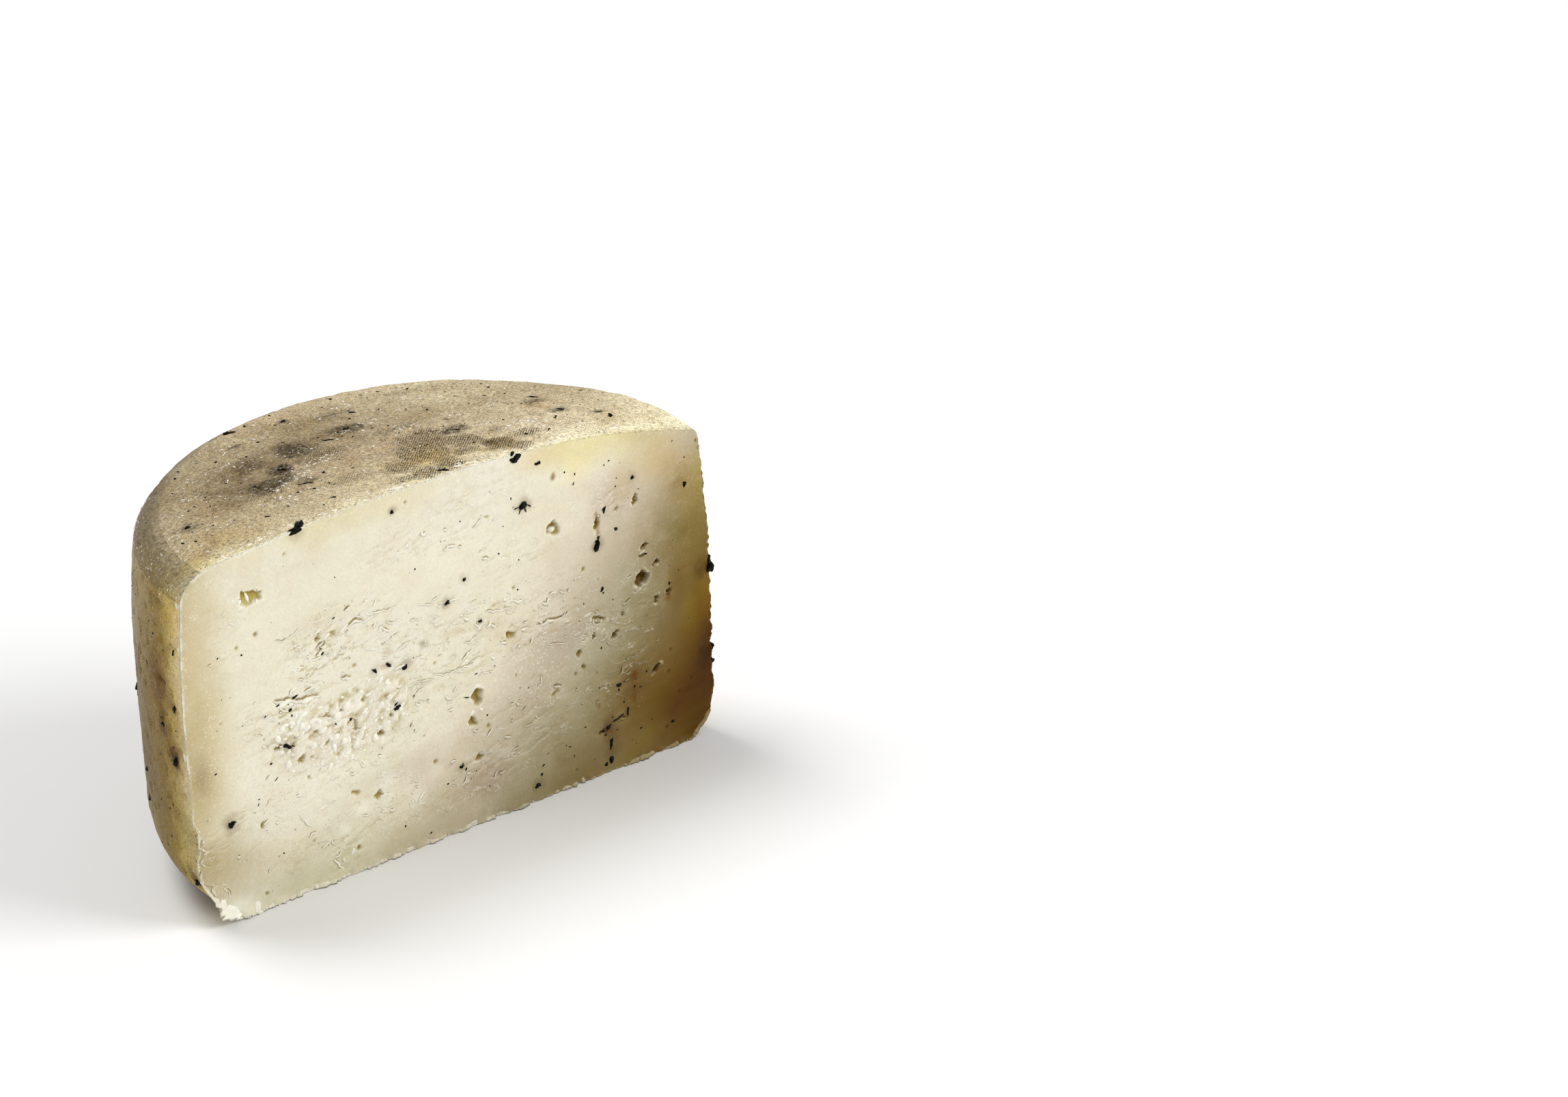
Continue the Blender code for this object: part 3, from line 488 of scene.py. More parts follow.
def cut_depth(x, z):
    """How deep the cut's surface lies at each place, how far inside an eye it is, and how crumbly."""
    wave = KNIFE_WAVE * waves(x, 0, z * 1.6, 24, 11)
    scrape = 0.008 * grain(x * 0.3, 0, z * 1.6 - x * 0.2, 2.4, 12, 2)
    torn = torn_share(x, z)
    uneven = 0.1 * grain(x * 0.6, 0, z, 2.2, 13, 3) * torn
    flakes = flake_edges(x, z, 5.2, 61, 0.14) + 0.7 * flake_edges(x, z, 2.6, 63, 0.2)
    holes, inside, _ = eye_hollows(x, z)
    grains, patch = crumble(x, z)
    pins = spots(x, z, PINHOLES, seed=81, size=(0.3, 0.7), low=0.2, high=0.6)
    small = np.maximum(cracks(x, z), pins) + (flakes * torn + uneven) * (1 - patch)
    depth = wave + scrape + (grains + small) * (holes < 0.05) + holes
    return depth, inside, patch


def make_piece(name, corners, faces, smooth=True):
    """A mesh object from corners in millimetres and rows of corner numbers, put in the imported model's place.

    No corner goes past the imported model's own bounds.
    """
    mesh = bpy.data.meshes.new(name)
    place = (np.asarray(corners, float) - np.array([0, CUT_TO_MIDDLE, 0])) * MM
    place = np.clip(place, np.array(cad_box[0]) + 1e-6, np.array(cad_box[1]) - 1e-6)
    mesh.vertices.add(len(place))
    mesh.vertices.foreach_set("co", place.astype(np.float32).ravel())
    flat = np.concatenate([np.asarray(rows).ravel() for rows in faces])
    sizes = np.concatenate([np.full(len(rows), np.shape(rows)[1]) for rows in faces])
    mesh.loops.add(len(flat))
    mesh.loops.foreach_set("vertex_index", flat.astype(np.int32))
    mesh.polygons.add(len(sizes))
    starts = np.concatenate([[0], np.cumsum(sizes)[:-1]])
    mesh.polygons.foreach_set("loop_start", starts.astype(np.int32))
    mesh.polygons.foreach_set("use_smooth", np.full(len(sizes), smooth))
    mesh.update(calc_edges=True)
    mesh.validate()
    piece = bpy.data.objects.new(name, mesh)
    bpy.context.scene.collection.objects.link(piece)
    return piece


def grid_faces(numbers):
    """Quads between neighbouring rows and columns of a grid of corner numbers."""
    corners = (numbers[:-1, :-1], numbers[:-1, 1:], numbers[1:, 1:], numbers[1:, :-1])
    return np.stack([corner.ravel() for corner in corners], axis=-1)


def closed_behind(numbers, rim, corners, rings, depth, turned=False):
    """Corners and faces of a grid closed behind its rim: by rings of corners and a fan to the middle."""
    first = len(corners)
    corners = np.concatenate([corners, *rings, [CUT_MIDDLE + [0, depth, 0]]])
    faces = [grid_faces(numbers)]
    last = rim
    for number in range(len(rings)):
        ring = first + number * len(rim) + np.arange(len(rim))
        strip = grid_faces(np.stack([np.append(last, last[0]), np.append(ring, ring[0])]))
        faces.append(strip[:, ::-1] if turned else strip)
        last = ring
    fan = columns(last, np.roll(last, -1), np.full(len(last), len(corners) - 1))
    faces.append(fan[:, [1, 0, 2]] if turned else fan)
    return corners, faces


def add_mask(piece, name, values):
    """Store one number for each corner of a mesh, for its material to read."""
    layer = piece.data.attributes.new(name, 'FLOAT', 'POINT')
    layer.data.foreach_set("value", np.asarray(values, np.float32).ravel())


def blurred(field, reach, times=3):
    """A grid averaged over its neighbours: running means along both directions, several times over."""
    size = 2 * reach + 1
    for _ in range(times):
        for axis in (0, 1):
            pad = [(reach + 1, reach) if number == axis else (0, 0) for number in (0, 1)]
            total = np.cumsum(np.pad(field, pad, mode='edge'), axis=axis)
            head = np.take(total, np.arange(size, total.shape[axis]), axis=axis)
            tail = np.take(total, np.arange(0, total.shape[axis] - size), axis=axis)
            field = (head - tail) / size
    return field


def distance_to(points, line):
    """Distance from every point of a grid to the nearest point of a line."""
    away = np.empty(points.shape[:2])
    for row in range(len(points)):
        gap = points[row][:, None] - line[None]
        away[row] = np.sqrt((gap ** 2).sum(-1).min(1))
    return away


all_tears = list(TEARS)
draw = np.random.default_rng(55)
while len(all_tears) < len(TEARS) + SMALL_TEARS:
    along = draw.uniform(-58, 50)
    up = draw.uniform(6, 68)
    if draw.uniform(0.1, 0.9) > torn_share(np.array([along]), np.array([up]))[0]:
        continue
    length = 0.5 + 2.6 * draw.uniform() ** 2
    lean = math.radians(draw.normal(6, 28))
    half = 0.5 * length * np.array([math.cos(lean), math.sin(lean)])
    middle_bend = draw.normal(0, 0.12, 2) * length
    depth = draw.uniform(0.25, 0.65)
    all_tears.append((depth, (along, up) - half, (along, up) + middle_bend, (along, up) + half))

outline_sides = cut_outline(PASTE_INSET)
side_counts = (PASTE_COLUMNS, PASTE_COLUMNS, PASTE_ROWS, PASTE_ROWS)
cut_flat = spread_between(*map(even, outline_sides, side_counts))
outline_points = np.concatenate([even(side, OUTLINE_POINTS) for side in outline_sides])
edge_away = distance_to(cut_flat, outline_points)
cut_x, cut_z = cut_flat[..., 0], cut_flat[..., 1]
cut_y, eye_share, crumbly = cut_depth(cut_x, cut_z)
hollows, _, eye_rims = eye_hollows(cut_x, cut_z)
cavity = cut_y - hollows
cavity = cavity - blurred(cavity, 3)
lip_share = bump((cut_x - LIP_CENTRE) / LIP_HALF_LENGTH) * bump(cut_z / (1.4 * LIP_HEIGHT))
calm = ease(edge_away, 0, 1.2)
cut_y = cut_y * calm - 0.5 * LIP_REACH * lip_share * calm
cut_front = ragged(columns(cut_x, cut_y, cut_z), edge_away)
cut_front[..., 1] = np.maximum(cut_front[..., 1], -LIP_REACH)
cut_front[..., 1] += EDGE_ROUND * bump(edge_away / EDGE_ROUND_WIDTH)

numbers = np.arange(PASTE_ROWS * PASTE_COLUMNS).reshape(PASTE_ROWS, PASTE_COLUMNS)
rim = np.concatenate([numbers[0, :-1], numbers[:-1, -1], numbers[-1, :0:-1], numbers[:0:-1, 0]])
front = cut_front.reshape(-1, 3)
rings = []
for back, shrink in PASTE_RINGS:
    ring = CUT_MIDDLE + (front[rim] - CUT_MIDDLE) * shrink
    ring[:, 1] = np.where(back < 1, front[rim, 1] + back, back)
    rings.append(ring)
paste_corners, paste_faces = closed_behind(numbers, rim, front, rings, PASTE_BACK, turned=True)
paste = make_piece("paste", paste_corners, paste_faces)
# the knife leaves a crisp edge, so the face isn't shaded round into the skin behind it
ends = np.empty(2 * len(paste.data.edges), np.int32)
paste.data.edges.foreach_get("vertices", ends)
paste.data.edges.foreach_set("use_edge_sharp", np.isin(ends.reshape(-1, 2), rim).all(axis=1))

# Colours are given as the display values, 0 to 255, that they show in the studio's light
# The paste from its ivory middle to its dark golden right end, darkened there partly by its own colour and
# partly by painted shade: distance to the lower right in mm, and colour
RIGHT_END_TONE_AND_SHADE = [
    (-124, 231, 225, 203), (-96, 232, 226, 203), (-60, 233, 227, 208), (-38, 231, 225, 202),
    (-26, 225, 216, 193), (-12, 199, 187, 162), (-4, 184, 171, 145), (4, 168, 157, 127), (14, 145, 133, 98),
    (24, 126, 108, 67), (32, 113, 88, 40), (39, 96, 69, 12), (46, 79, 46, 2), (56, 84, 56, 0),
]
# Tints of parts of the cut: along, up, radius along, radius up, share of red, green and blue that stays.
# Among them, painted shade darkens the foot and the right end, and a painted highlight lightens the top right
# corner
CUT_TINTS = [
    (-66, 40, 15, 70, 0.87, 0.82, 0.7), (-65, 26, 10, 26, 0.94, 0.93, 0.9),
    (-64, 77, 14, 9, 0.9, 0.88, 0.8), (40, 76, 26, 9, 0.985, 0.96, 0.8), (-30, 79, 44, 8, 0.97, 0.95, 0.88),
    (66, 30, 13, 54, 0.9, 0.83, 0.5), (60, 78, 12, 7, 1.15, 1.18, 1.3), (-32, 1, 48, 15, 0.89, 0.885, 0.83),
    (44, 1, 16, 9, 1.15, 1.28, 1.9), (40, 63, 8, 8, 0.97, 0.94, 0.95), (-37, 31, 12, 7, 0.98, 0.97, 0.97),
    (-9, 19, 14, 6, 0.96, 0.95, 0.94), (6, 9, 12, 6, 0.93, 0.91, 0.9), (-33, 56, 9, 6, 0.97, 0.955, 0.94),
    (24, 34, 9, 6, 0.97, 0.96, 0.97), (-59, 12, 16, 14, 0.92, 0.91, 0.88), (57, 61, 7, 9, 0.93, 0.89, 0.78),
    (51, 50, 9, 15, 0.9, 0.87, 0.8), (43, 19, 6, 8, 0.9, 0.85, 0.74), (-57, 2.5, 6, 4.5, 1.1, 1.13, 1.19),
    (30, 70, 8, 4, 1.03, 1.02, 0.98), (-4, 60, 26, 9, 1.01, 1.01, 1), (-29, 22, 18, 5, 1.02, 1.02, 1.02),
    (32, 30, 10, 8, 1.05, 1.07, 1.11), (57, 44, 9, 26, 0.96, 0.93, 0.84),
    (-46, 11, 14, 8, 0.95, 0.935, 0.9), (-18, 19, 14, 5, 0.96, 0.955, 0.95),
    (-20, 33, 14, 8, 0.975, 0.97, 0.965), (52, 67, 10, 7, 1, 0.96, 0.86), (21, 76, 9, 6, 0.98, 0.94, 0.86),
    (-58, 13, 13, 11, 0.94, 0.925, 0.89), (46, 76, 9, 6, 0.95, 0.94, 0.94),
    (-62, 33, 3, 6, 0.9, 0.88, 0.86), (60.5, 29, 6, 10, 1.14, 1.2, 0.88),
    (65.5, 34, 4.5, 13, 1.22, 1.24, 1.05), (62, 58, 8, 10, 0.97, 0.93, 0.72),
    (55.5, 36, 3.5, 8, 0.94, 0.89, 0.78), (42, 65, 5, 7, 0.98, 0.97, 0.9),
    (-26.5, 13.2, 3.4, 2.6, 1.05, 1.06, 1.09), (-30.8, 10.2, 2.4, 1.8, 1.05, 1.06, 1.09),
    (-13, 11, 2.8, 3.4, 1.05, 1.065, 1.1), (-19.8, 17.4, 5, 2, 1.04, 1.05, 1.08),
    (-8, 15.5, 2.6, 2.2, 1.04, 1.05, 1.08), (24, 22, 3.4, 3, 1.04, 1.05, 1.08),
]
# Where fine white flecks of dried whey, with painted glints, lie on the cut: along, up, radius along, radius
# up, strength
FLECKS = [
    (-52.6, 70.4, 1.6, 1.4, 1), (-53.6, 61.4, 1.2, 1.5, 0.9), (-51.3, 58, 1, 1, 0.9),
    (-60.5, 65.8, 1.3, 1.6, 0.9), (-44, 70.5, 4, 2, 0.7), (-50, 64.5, 3, 1.6, 0.8), (-40, 75, 6, 1.6, 0.5),
    (-56, 72, 5, 2.5, 0.5), (-2.5, 76.4, 1, 2.6, 1), (1.2, 76, 0.8, 2.2, 1), (4, 76.6, 2.4, 1.6, 0.7),
    (7, 75, 0.7, 2, 0.8), (12, 77, 5, 1.2, 0.6), (-12, 76.8, 8, 1.3, 0.5), (-22, 77, 8, 1, 0.5),
    (-30, 58, 10, 6, 0.35), (2, 62, 9, 6, 0.35), (14, 57, 8, 5, 0.5), (16, 30, 14, 10, 0.45),
    (-8, 27, 12, 9, 0.45), (-30, 33, 17, 9, 0.7), (-40, 15, 14, 6, 0.4), (-59, 40, 3, 20, 0.45),
    (-52, 30, 6, 6, 0.45), (27, 62, 6, 6, 0.5), (37, 63, 4, 6, 0.7), (33, 34, 6, 4, 0.6),
    (-20, 8, 14, 5, 0.35),
]
# Halos: truffle stains the paste round it.  Along, up, radius, strength
HALOS = [
    (-56.5, 20.7, 3, 0.9), (16.7, 66.4, 2.8, 0.9), (1.6, 55, 1.9, 0.6), (-14.7, 74.3, 1.6, 0.8),
    (4.7, 44.6, 1.7, 0.7), (-3, 51.2, 2.1, 0.8), (-42.7, 33, 3.2, 0.9), (-16.8, 32.9, 2.4, 0.6),
    (-21.3, 42.3, 2, 0.4), (-13.6, 41.2, 2.4, 0.9), (35.9, 10.5, 3.6, 0.8), (36.4, 5, 3.2, 0.7),
    (41.2, 12.4, 2.2, 0.6), (-1.9, 14.2, 2.4, 0.5), (-9.5, 44, 1.6, 0.9), (35.1, 52.4, 2.4, 0.8),
    (44.7, 64.5, 2.2, 0.5), (17, 3.4, 2.4, 0.6), (21, 38, 2.4, 0.3), (-37, 76, 2.4, 0.5),
    (56.5, 60, 2.4, 0.4), (63.5, 38.9, 4, 1), (63.5, 18.5, 4.6, 1),
]
# Rust round pinpricks of truffle: along, up, radius along, radius up, strength
RUST = [
    (43.3, 20, 1.1, 1.2, 1), (43.2, 15.5, 0.7, 3.8, 0.55), (35.3, 57.5, 0.7, 2.6, 0.75),
    (46.3, 41.6, 1.6, 1.8, 0.45), (53.3, 35.5, 0.9, 1.1, 0.9), (35.3, 9.6, 1.6, 0.8, 0.8),
    (-18, 45.2, 1.3, 0.8, 0.22), (-18.4, 42.6, 1.6, 0.8, 0.25), (-33, 51.5, 0.9, 0.6, 0.3),
    (24.6, 70.5, 0.6, 1, 0.7), (33.6, 16.2, 0.5, 0.9, 0.5), (47.2, 48.4, 0.8, 0.6, 0.5),
]
SPREAD = 1.3  # rust and flecks fade out a little past their radii
HALO_TINT = (0.80, 0.77, 0.74)
EYE_OLIVE_AND_SHADE = (0.66, 0.56, 0.1)
CREASE_SHADE_TINT = (0.74, 0.68, 0.49)
CHALK = (250, 247, 234)
RUST_BROWN = (100, 58, 10)
OLIVE_SHADE = (128, 108, 66)
FOOT_GREY = (165, 158, 140)
TEAR_STEP = 3.4  # the finest tears: their usual spacing, their lean and the height of their lips
TEAR_LEAN = 0.12
TEAR_LIP = 0.3


def on_light(values):
    """The linear colour that shows as the given display values, 0 to 255, in the studio's light."""
    shown = np.clip(np.asarray(values, float) / 255, 0, 1)
    return np.where(shown <= 0.04045, shown / 12.92, ((shown + 0.055) / 1.055) ** 2.4)


def shade(red, green, blue):
    """One colour for a material's socket, from display values."""
    return (*map(float, on_light((red, green, blue))), 1.0)


def read_off(at, stops):
    """Colours read off a list of stops: each channel interpolated between them."""
    stops = np.array(stops, float)
    return np.stack([np.interp(at, stops[:, 0], stops[:, channel]) for channel in (1, 2, 3)], axis=-1)


def tinted(tone, share, tint):
    """A colour field multiplied by a tint where the share is 1, and left as it is where it is 0."""
    return tone * (1 + (np.asarray(tint) - 1) * np.asarray(share)[..., None])


def washed(tone, share, colour):
    """A colour field drawn towards one colour by a share."""
    return tone + (np.asarray(colour, float) - tone) * np.asarray(share)[..., None]


def cut_tone(x, z):
    """The cut's colour at each place, before its eyes and tears, with painted shade at its foot and right end.
    """
    to_lower_right = x - 0.95 * z + 3.0 * waves(x, 0, z, 19, 31)
    # darker towards the lower right: golden colour with painted shade
    tone = read_off(to_lower_right, RIGHT_END_TONE_AND_SHADE)
    border = 0.16 * grain(x, 0, z, 9, 32, 2)
    # these tints include painted shade at the foot and right end and a painted highlight at the top right
    for row in CUT_TINTS:
        tone = tinted(tone, blot(x, z, row[:4], border), row[4:])
    # the dark right corner is greyer at its foot
    greyer = 0.28 * bump(z / 14) * ease(x, 20, 40) * ease(-x, -62, -50)
    tone = washed(tone, greyer, FOOT_GREY)
    cloud = grain(x, 0, z, 7, 33, 3)
    tone = tinted(tone, np.clip(cloud, 0, 1), (0.98, 0.965, 0.945))
    white = 0.12 * np.clip(grain(x, 0, z, 3.2, 34, 3) - 0.15, 0, 1) * ease(to_lower_right, 30, 5)
    return washed(tone, white, CHALK)


def add_tone(piece, tone):
    """Store the colour of each corner of a mesh, for its material to read."""
    layer = piece.data.attributes.new("tone", 'FLOAT_COLOR', 'POINT')
    values = np.ones((len(tone), 4), np.float32)
    values[:, :3] = on_light(tone)
    layer.data.foreach_set("color", values.ravel())


tone = cut_tone(cut_x, cut_z)
smudgy = 0.3 * grain(cut_x, 0, cut_z, 1.4, 91, 2)
for along, up, radius, strength in HALOS:
    ring = bump(np.clip(np.hypot(cut_x - along, cut_z - up) / radius + smudgy, 0, None))
    tone = tinted(tone, strength * ring, HALO_TINT)
# painted highlight on the relief's ridges and painted shade in its creases
tone = washed(tone, 0.35 * np.clip(-cavity / 0.12, 0, 1) * (1 - eye_share), CHALK)
tone = tinted(tone, np.clip(cavity / 0.22, 0, 1) * (1 - eye_share), CREASE_SHADE_TINT)
# a white torn rim round each eye, with painted highlight
tone = washed(tone, 0.6 * eye_rims, CHALK)
# olive colour and painted shade inside the eyes, stronger towards the shaded right end
tone = tinted(tone, np.clip(eye_share * (1 + 1.1 * ease(cut_x, 15, 45)), 0, 1), EYE_OLIVE_AND_SHADE)
for along, up, wide, high, strength in RUST:
    stain = blot(cut_x, cut_z, (along, up, SPREAD * wide, SPREAD * high), smudgy)
    tone = washed(tone, 0.8 * strength * stain, RUST_BROWN)
# a broken white line along the cut's edge: whiter crumbs with a painted highlight
broken_line = bump(edge_away / 0.7) * ease(grain(cut_x, 0, cut_z, 1.6, 92, 3), -0.5, 0.6)
tone = washed(tone, broken_line * (0.15 + 0.6 * ease(-cut_x, -5, 45)), CHALK)
behind = np.zeros(len(paste_corners) - len(front))
add_tone(paste, np.concatenate([tone.reshape(-1, 3), tone[0, :1] + behind[:, None]]))
torn = torn_share(cut_x, cut_z) * (1 - crumbly) * (1 - eye_share) * calm
add_mask(paste, "torn", np.append(torn, behind))
flecks = 0.1 + 0.5 * bump(edge_away / 2.2) * ease(cut_z - 0.6 * cut_x, 30, 70)
for along, up, wide, high, strength in FLECKS:
    patch = blot(cut_x, cut_z, (along, up, SPREAD * wide, SPREAD * high), 0.5 * smudgy)
    flecks = np.maximum(flecks, strength * patch)
flecks = flecks * ease(-cut_x + 0.95 * cut_z, -30, 0)
add_mask(paste, "torn_wide", np.append(0.15 + 0.85 * torn, behind))
add_mask(paste, "flecks", np.append(flecks, behind))


class Nodes:
    """Nodes added to a tree one by one: each call returns the output that its node makes."""

    def __init__(self, tree):
        self.tree = tree

    def feed(self, socket, value):
        """Link an output to a socket, or set the socket to a plain value."""
        if isinstance(value, bpy.types.NodeSocket):
            self.tree.links.new(value, socket)
        else:
            socket.default_value = value

    def add(self, kind, values=(), **settings):
        """A new node with its settings made and its first inputs fed."""
        node = self.tree.nodes.new("ShaderNode" + kind)
        for name, setting in settings.items():
            setattr(node, name, setting)
        for socket, value in zip(node.inputs, values):
            self.feed(socket, value)
        return node

    def math(self, operation, *values):
        """One arithmetic step."""
        return self.add("Math", values, operation=operation).outputs[0]


class Recipe(Nodes):
    """A material under construction, on the shader that a new material starts with."""

    def __init__(self, name):
        self.material = bpy.data.materials.new(name)
        self.material.use_nodes = True
        super().__init__(self.material.node_tree)
        self.shader = self.tree.nodes["Principled BSDF"]
        self.place = self.add("TexCoord").outputs["Object"]

    def give(self, inputs):
        """Feed the shader's own inputs by name."""
        for name, value in inputs.items():
            self.feed(self.shader.inputs[name], value)

    def mask(self, name):
        """A number stored on the mesh's corners."""
        return self.add("Attribute", attribute_name=name).outputs["Fac"]

    def tone(self):
        """The colour stored on the mesh's corners."""
        return self.add("Attribute", attribute_name="tone").outputs["Color"]

    def rise(self, value, start, end, low=0.0, high=1.0):
        """Low before start, high after end, and a smooth rise between them."""
        stops = (value, start, end, low, high)
        return self.add("MapRange", stops, interpolation_type='SMOOTHSTEP').outputs["Result"]

    def blend(self, share, first, second, mode='MIX'):
        """A mix of two colours by a share of the second."""
        node = self.add("Mix", data_type='RGBA', blend_type=mode)
        self.feed(node.inputs["Factor"], share)
        self.feed(node.inputs[6], first)
        self.feed(node.inputs[7], second)
        return node.outputs[2]

    def mottled(self, colour, noise, low, high, share=1.0):
        """A colour made darker and lighter by noise, between two factors."""
        return self.blend(share, colour, self.rise(noise, 0.3, 0.7, low, high), 'MULTIPLY')

    def painted(self, colour, first, second, paint):
        """A colour painted over, given in display values, by the product of two shares."""
        return self.blend(self.math('MULTIPLY', first, second), colour, shade(*paint))

    def noise(self, size_mm, detail=2.0, roughness=0.5, stretch=(1, 1, 1), shift=0.0):
        """Cloudy noise whose blobs have about the given size, stretched along the axes."""
        mapping = self.add("Mapping", [self.place, (shift, shift * 1.7, shift * 0.6)])
        mapping.inputs["Scale"].default_value = [1 / s for s in stretch]
        values = (mapping.outputs["Vector"], 0.0, 1 / (size_mm * MM), detail, roughness)
        return self.add("TexNoise", values).outputs["Fac"]

    def relief(self, height, depth_mm, normal=None):
        """A bump from a height between 0 and 1 that stands for the given depth."""
        node = self.add("Bump")
        node.inputs["Distance"].default_value = depth_mm * MM
        self.feed(node.inputs["Height"], height)
        if normal is not None:
            self.feed(node.inputs["Normal"], normal)
        return node.outputs["Normal"]


def paste_material(name, rough, scatter, shine):
    """A material for paste: its stored tone, faintly mottled, with a satin moist surface and fine tears."""
    mix = Recipe(name)
    mottle = mix.noise(1.4, 3, 0.6)
    colour = mix.mottled(mix.tone(), mottle, 0.98, 1.02)
    colour = mix.mottled(colour, mix.noise(0.55, 2, 0.6, shift=2.1), 0.965, 1.03)
    # white flecks: dried whey with painted glints
    fleck_glint = mix.rise(mix.noise(0.5, 2, 0.65, shift=0.4), 0.57, 0.65, 0.0, 0.8)
    colour = mix.painted(colour, fleck_glint, mix.mask("flecks"), CHALK)
    # olive pits in the torn areas: painted shade of tiny pits
    pits = mix.rise(mix.noise(0.6, 1, 0.5, shift=3.3), 0.68, 0.74, 0.0, 0.45)
    colour = mix.painted(colour, pits, mix.mask("torn_wide"), OLIVE_SHADE)
    # tears: the edges of a stair in height whose steps wander, each step standing out most at its top; painted
    # highlight whitens each step's top and painted shade darkens its foot
    split = mix.add("SeparateXYZ", [mix.place])
    climb = mix.math('MULTIPLY', split.outputs["Z"], 1 / (TEAR_STEP * MM))
    climb = mix.math('MULTIPLY_ADD', split.outputs["X"], -TEAR_LEAN / (TEAR_STEP * MM), climb)
    climb = mix.math('MULTIPLY_ADD', mix.noise(7, 5, 0.62, stretch=(1.6, 1, 1), shift=0.9), 6.0, climb)
    step = mix.math('FRACT', climb)
    broken = mix.rise(mix.noise(2.6, 2, 0.6, stretch=(1.8, 1, 1), shift=1.9), 0.5, 0.55)
    broken = mix.math('MULTIPLY', broken, mix.mask("torn"))
    lip = mix.math('MULTIPLY', mix.rise(step, 0.55, 1.0), broken)
    colour = mix.painted(colour, mix.rise(step, 0.86, 0.97, 0.0, 0.75), broken, CHALK)
    colour = mix.painted(colour, mix.rise(step, 0.0, 0.06, 0.8, 0.0), broken, OLIVE_SHADE)
    smooth = mix.relief(mix.noise(0.5, 3, 0.6), 0.01)
    lumpy = mix.relief(mix.noise(1.8, 3, 0.6, stretch=(1.8, 1, 1)), 0.018, smooth)
    mix.give({
        "Base Color": colour,
        "Roughness": mix.rise(mottle, 0.3, 0.7, rough - 0.1, rough + 0.1),
        "Normal": mix.relief(lip, TEAR_LIP, lumpy),
        "Subsurface Weight": scatter,
        "Subsurface Radius": (1.0, 0.72, 0.42),
        "Subsurface Scale": 0.4 * MM,
        "Specular IOR Level": shine,
    })
    return mix.material


paste.data.materials.append(paste_material("goat_paste", rough=0.42, scatter=0.32, shine=0.08))
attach(paste, "root")
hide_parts("cheese_half")


# -------------------- loosened curd
# The knife has loosened grains of curd, which are moist, white and rounded, a fraction of a millimetre to
# two millimetres across.  They crowd the crumbly patch, follow the tears and lie in the open eyes.

# Single grains that stand out: along, up, length, width, tilt in degrees
LARGE_GRAINS = [
    (-48.2, 65.9, 3.4, 0.75, -76), (-50.4, 65.9, 1.3, 0.9, 30), (-51.9, 66.6, 1, 0.8, 0),
    (-46.6, 65, 1, 0.7, 60), (24.4, 58.7, 2.1, 1.6, 25), (46.8, 47.3, 1.9, 0.7, 20),
    (44.9, 59.2, 1.5, 0.5, -50), (53.5, 35.6, 0.6, 0.5, 0), (-22.5, 28, 1.7, 1.5, 20),
    (-25.1, 30.6, 2, 1.4, 50), (-28.6, 29.4, 2.2, 1.5, 70), (-31.5, 31, 2.3, 1.6, 30),
    (-34.2, 33.6, 2.4, 1.5, 20), (-31, 35.6, 2.2, 1.4, 15), (-36.4, 36.2, 2.3, 1.3, 20),
    (-29.2, 33.4, 1.9, 1.3, 80), (-27, 28, 1.8, 1.2, 60), (-33, 28.2, 1.9, 1.1, 40),
    (-38.6, 38.4, 2.8, 1.1, 15), (-42.6, 42, 4.2, 1.3, 12), (-37, 41, 3.4, 1, 8),
    (-24.2, 34.4, 2.3, 1.2, 45), (-19, 30.2, 1.6, 1, 0), (-42.3, 31.6, 1.4, 0.9, 50),
    (-43.9, 32, 1.1, 0.8, 20), (-42.9, 34.6, 1.2, 0.7, 0), (-18, 35.4, 2, 0.9, 30),
    (-31.8, 52.9, 2.2, 0.7, 25), (-27.6, 53.4, 2.6, 0.7, 25), (-33.5, 49.9, 1.7, 0.8, 50),
    (1.2, 25.3, 1.5, 0.8, 30), (3.6, 25.4, 1.2, 0.8, 0), (-35.5, 17, 3, 0.6, 15),
    (-29.5, 4.9, 1.6, 0.7, 60), (35.6, 32.9, 1.6, 0.7, 20), (31.6, 37.6, 2.4, 0.6, 10),
]
PATCH_GRAINS = 150  # more in the crumbly patch
PATCH_GRAIN_LENGTH = (0.5, 2.0)
SMALL_CLUSTERS = 95  # clusters of finer grains over the rest of the cut
SMALL_GRAIN_LENGTH = (0.16, 0.5)
GRAIN_THICKNESS = 0.75  # of a grain's width
GRAIN_STANDS = 0.28  # the share of its thickness that stands out of the surface
GRAIN_LUMPS = 0.2  # how far its lumps stand out, as a share of its radius


def unit_balls(count, detail):
    """The corners of many equal balls, and the triangles of one."""
    ball = bmesh.new()
    bmesh.ops.create_icosphere(ball, subdivisions=detail, radius=1.0)
    sphere = np.array([corner.co for corner in ball.verts])
    triangles = np.array([[corner.index for corner in face.verts] for face in ball.faces])
    ball.free()
    return np.repeat(sphere[None], count, axis=0), triangles


def set_down(shapes, triangles, rows):
    """Stretch, turn and move each shape to its row's place; returns all corners and all faces."""
    shapes = shapes * rows[:, None, 9:12] / 2
    out = rows[:, 6:9]
    long_way = unit(rows[:, 3:6] - out * (rows[:, 3:6] * out).sum(-1)[:, None])
    side = np.cross(out, long_way)
    turned = shapes[..., :1] * long_way[:, None] + shapes[..., 1:2] * side[:, None]
    placed = turned + shapes[..., 2:] * out[:, None] + rows[:, None, :3]
    faces = triangles[None] + np.arange(len(rows))[:, None, None] * shapes.shape[1]
    return placed.reshape(-1, 3), faces.reshape(-1, 3)


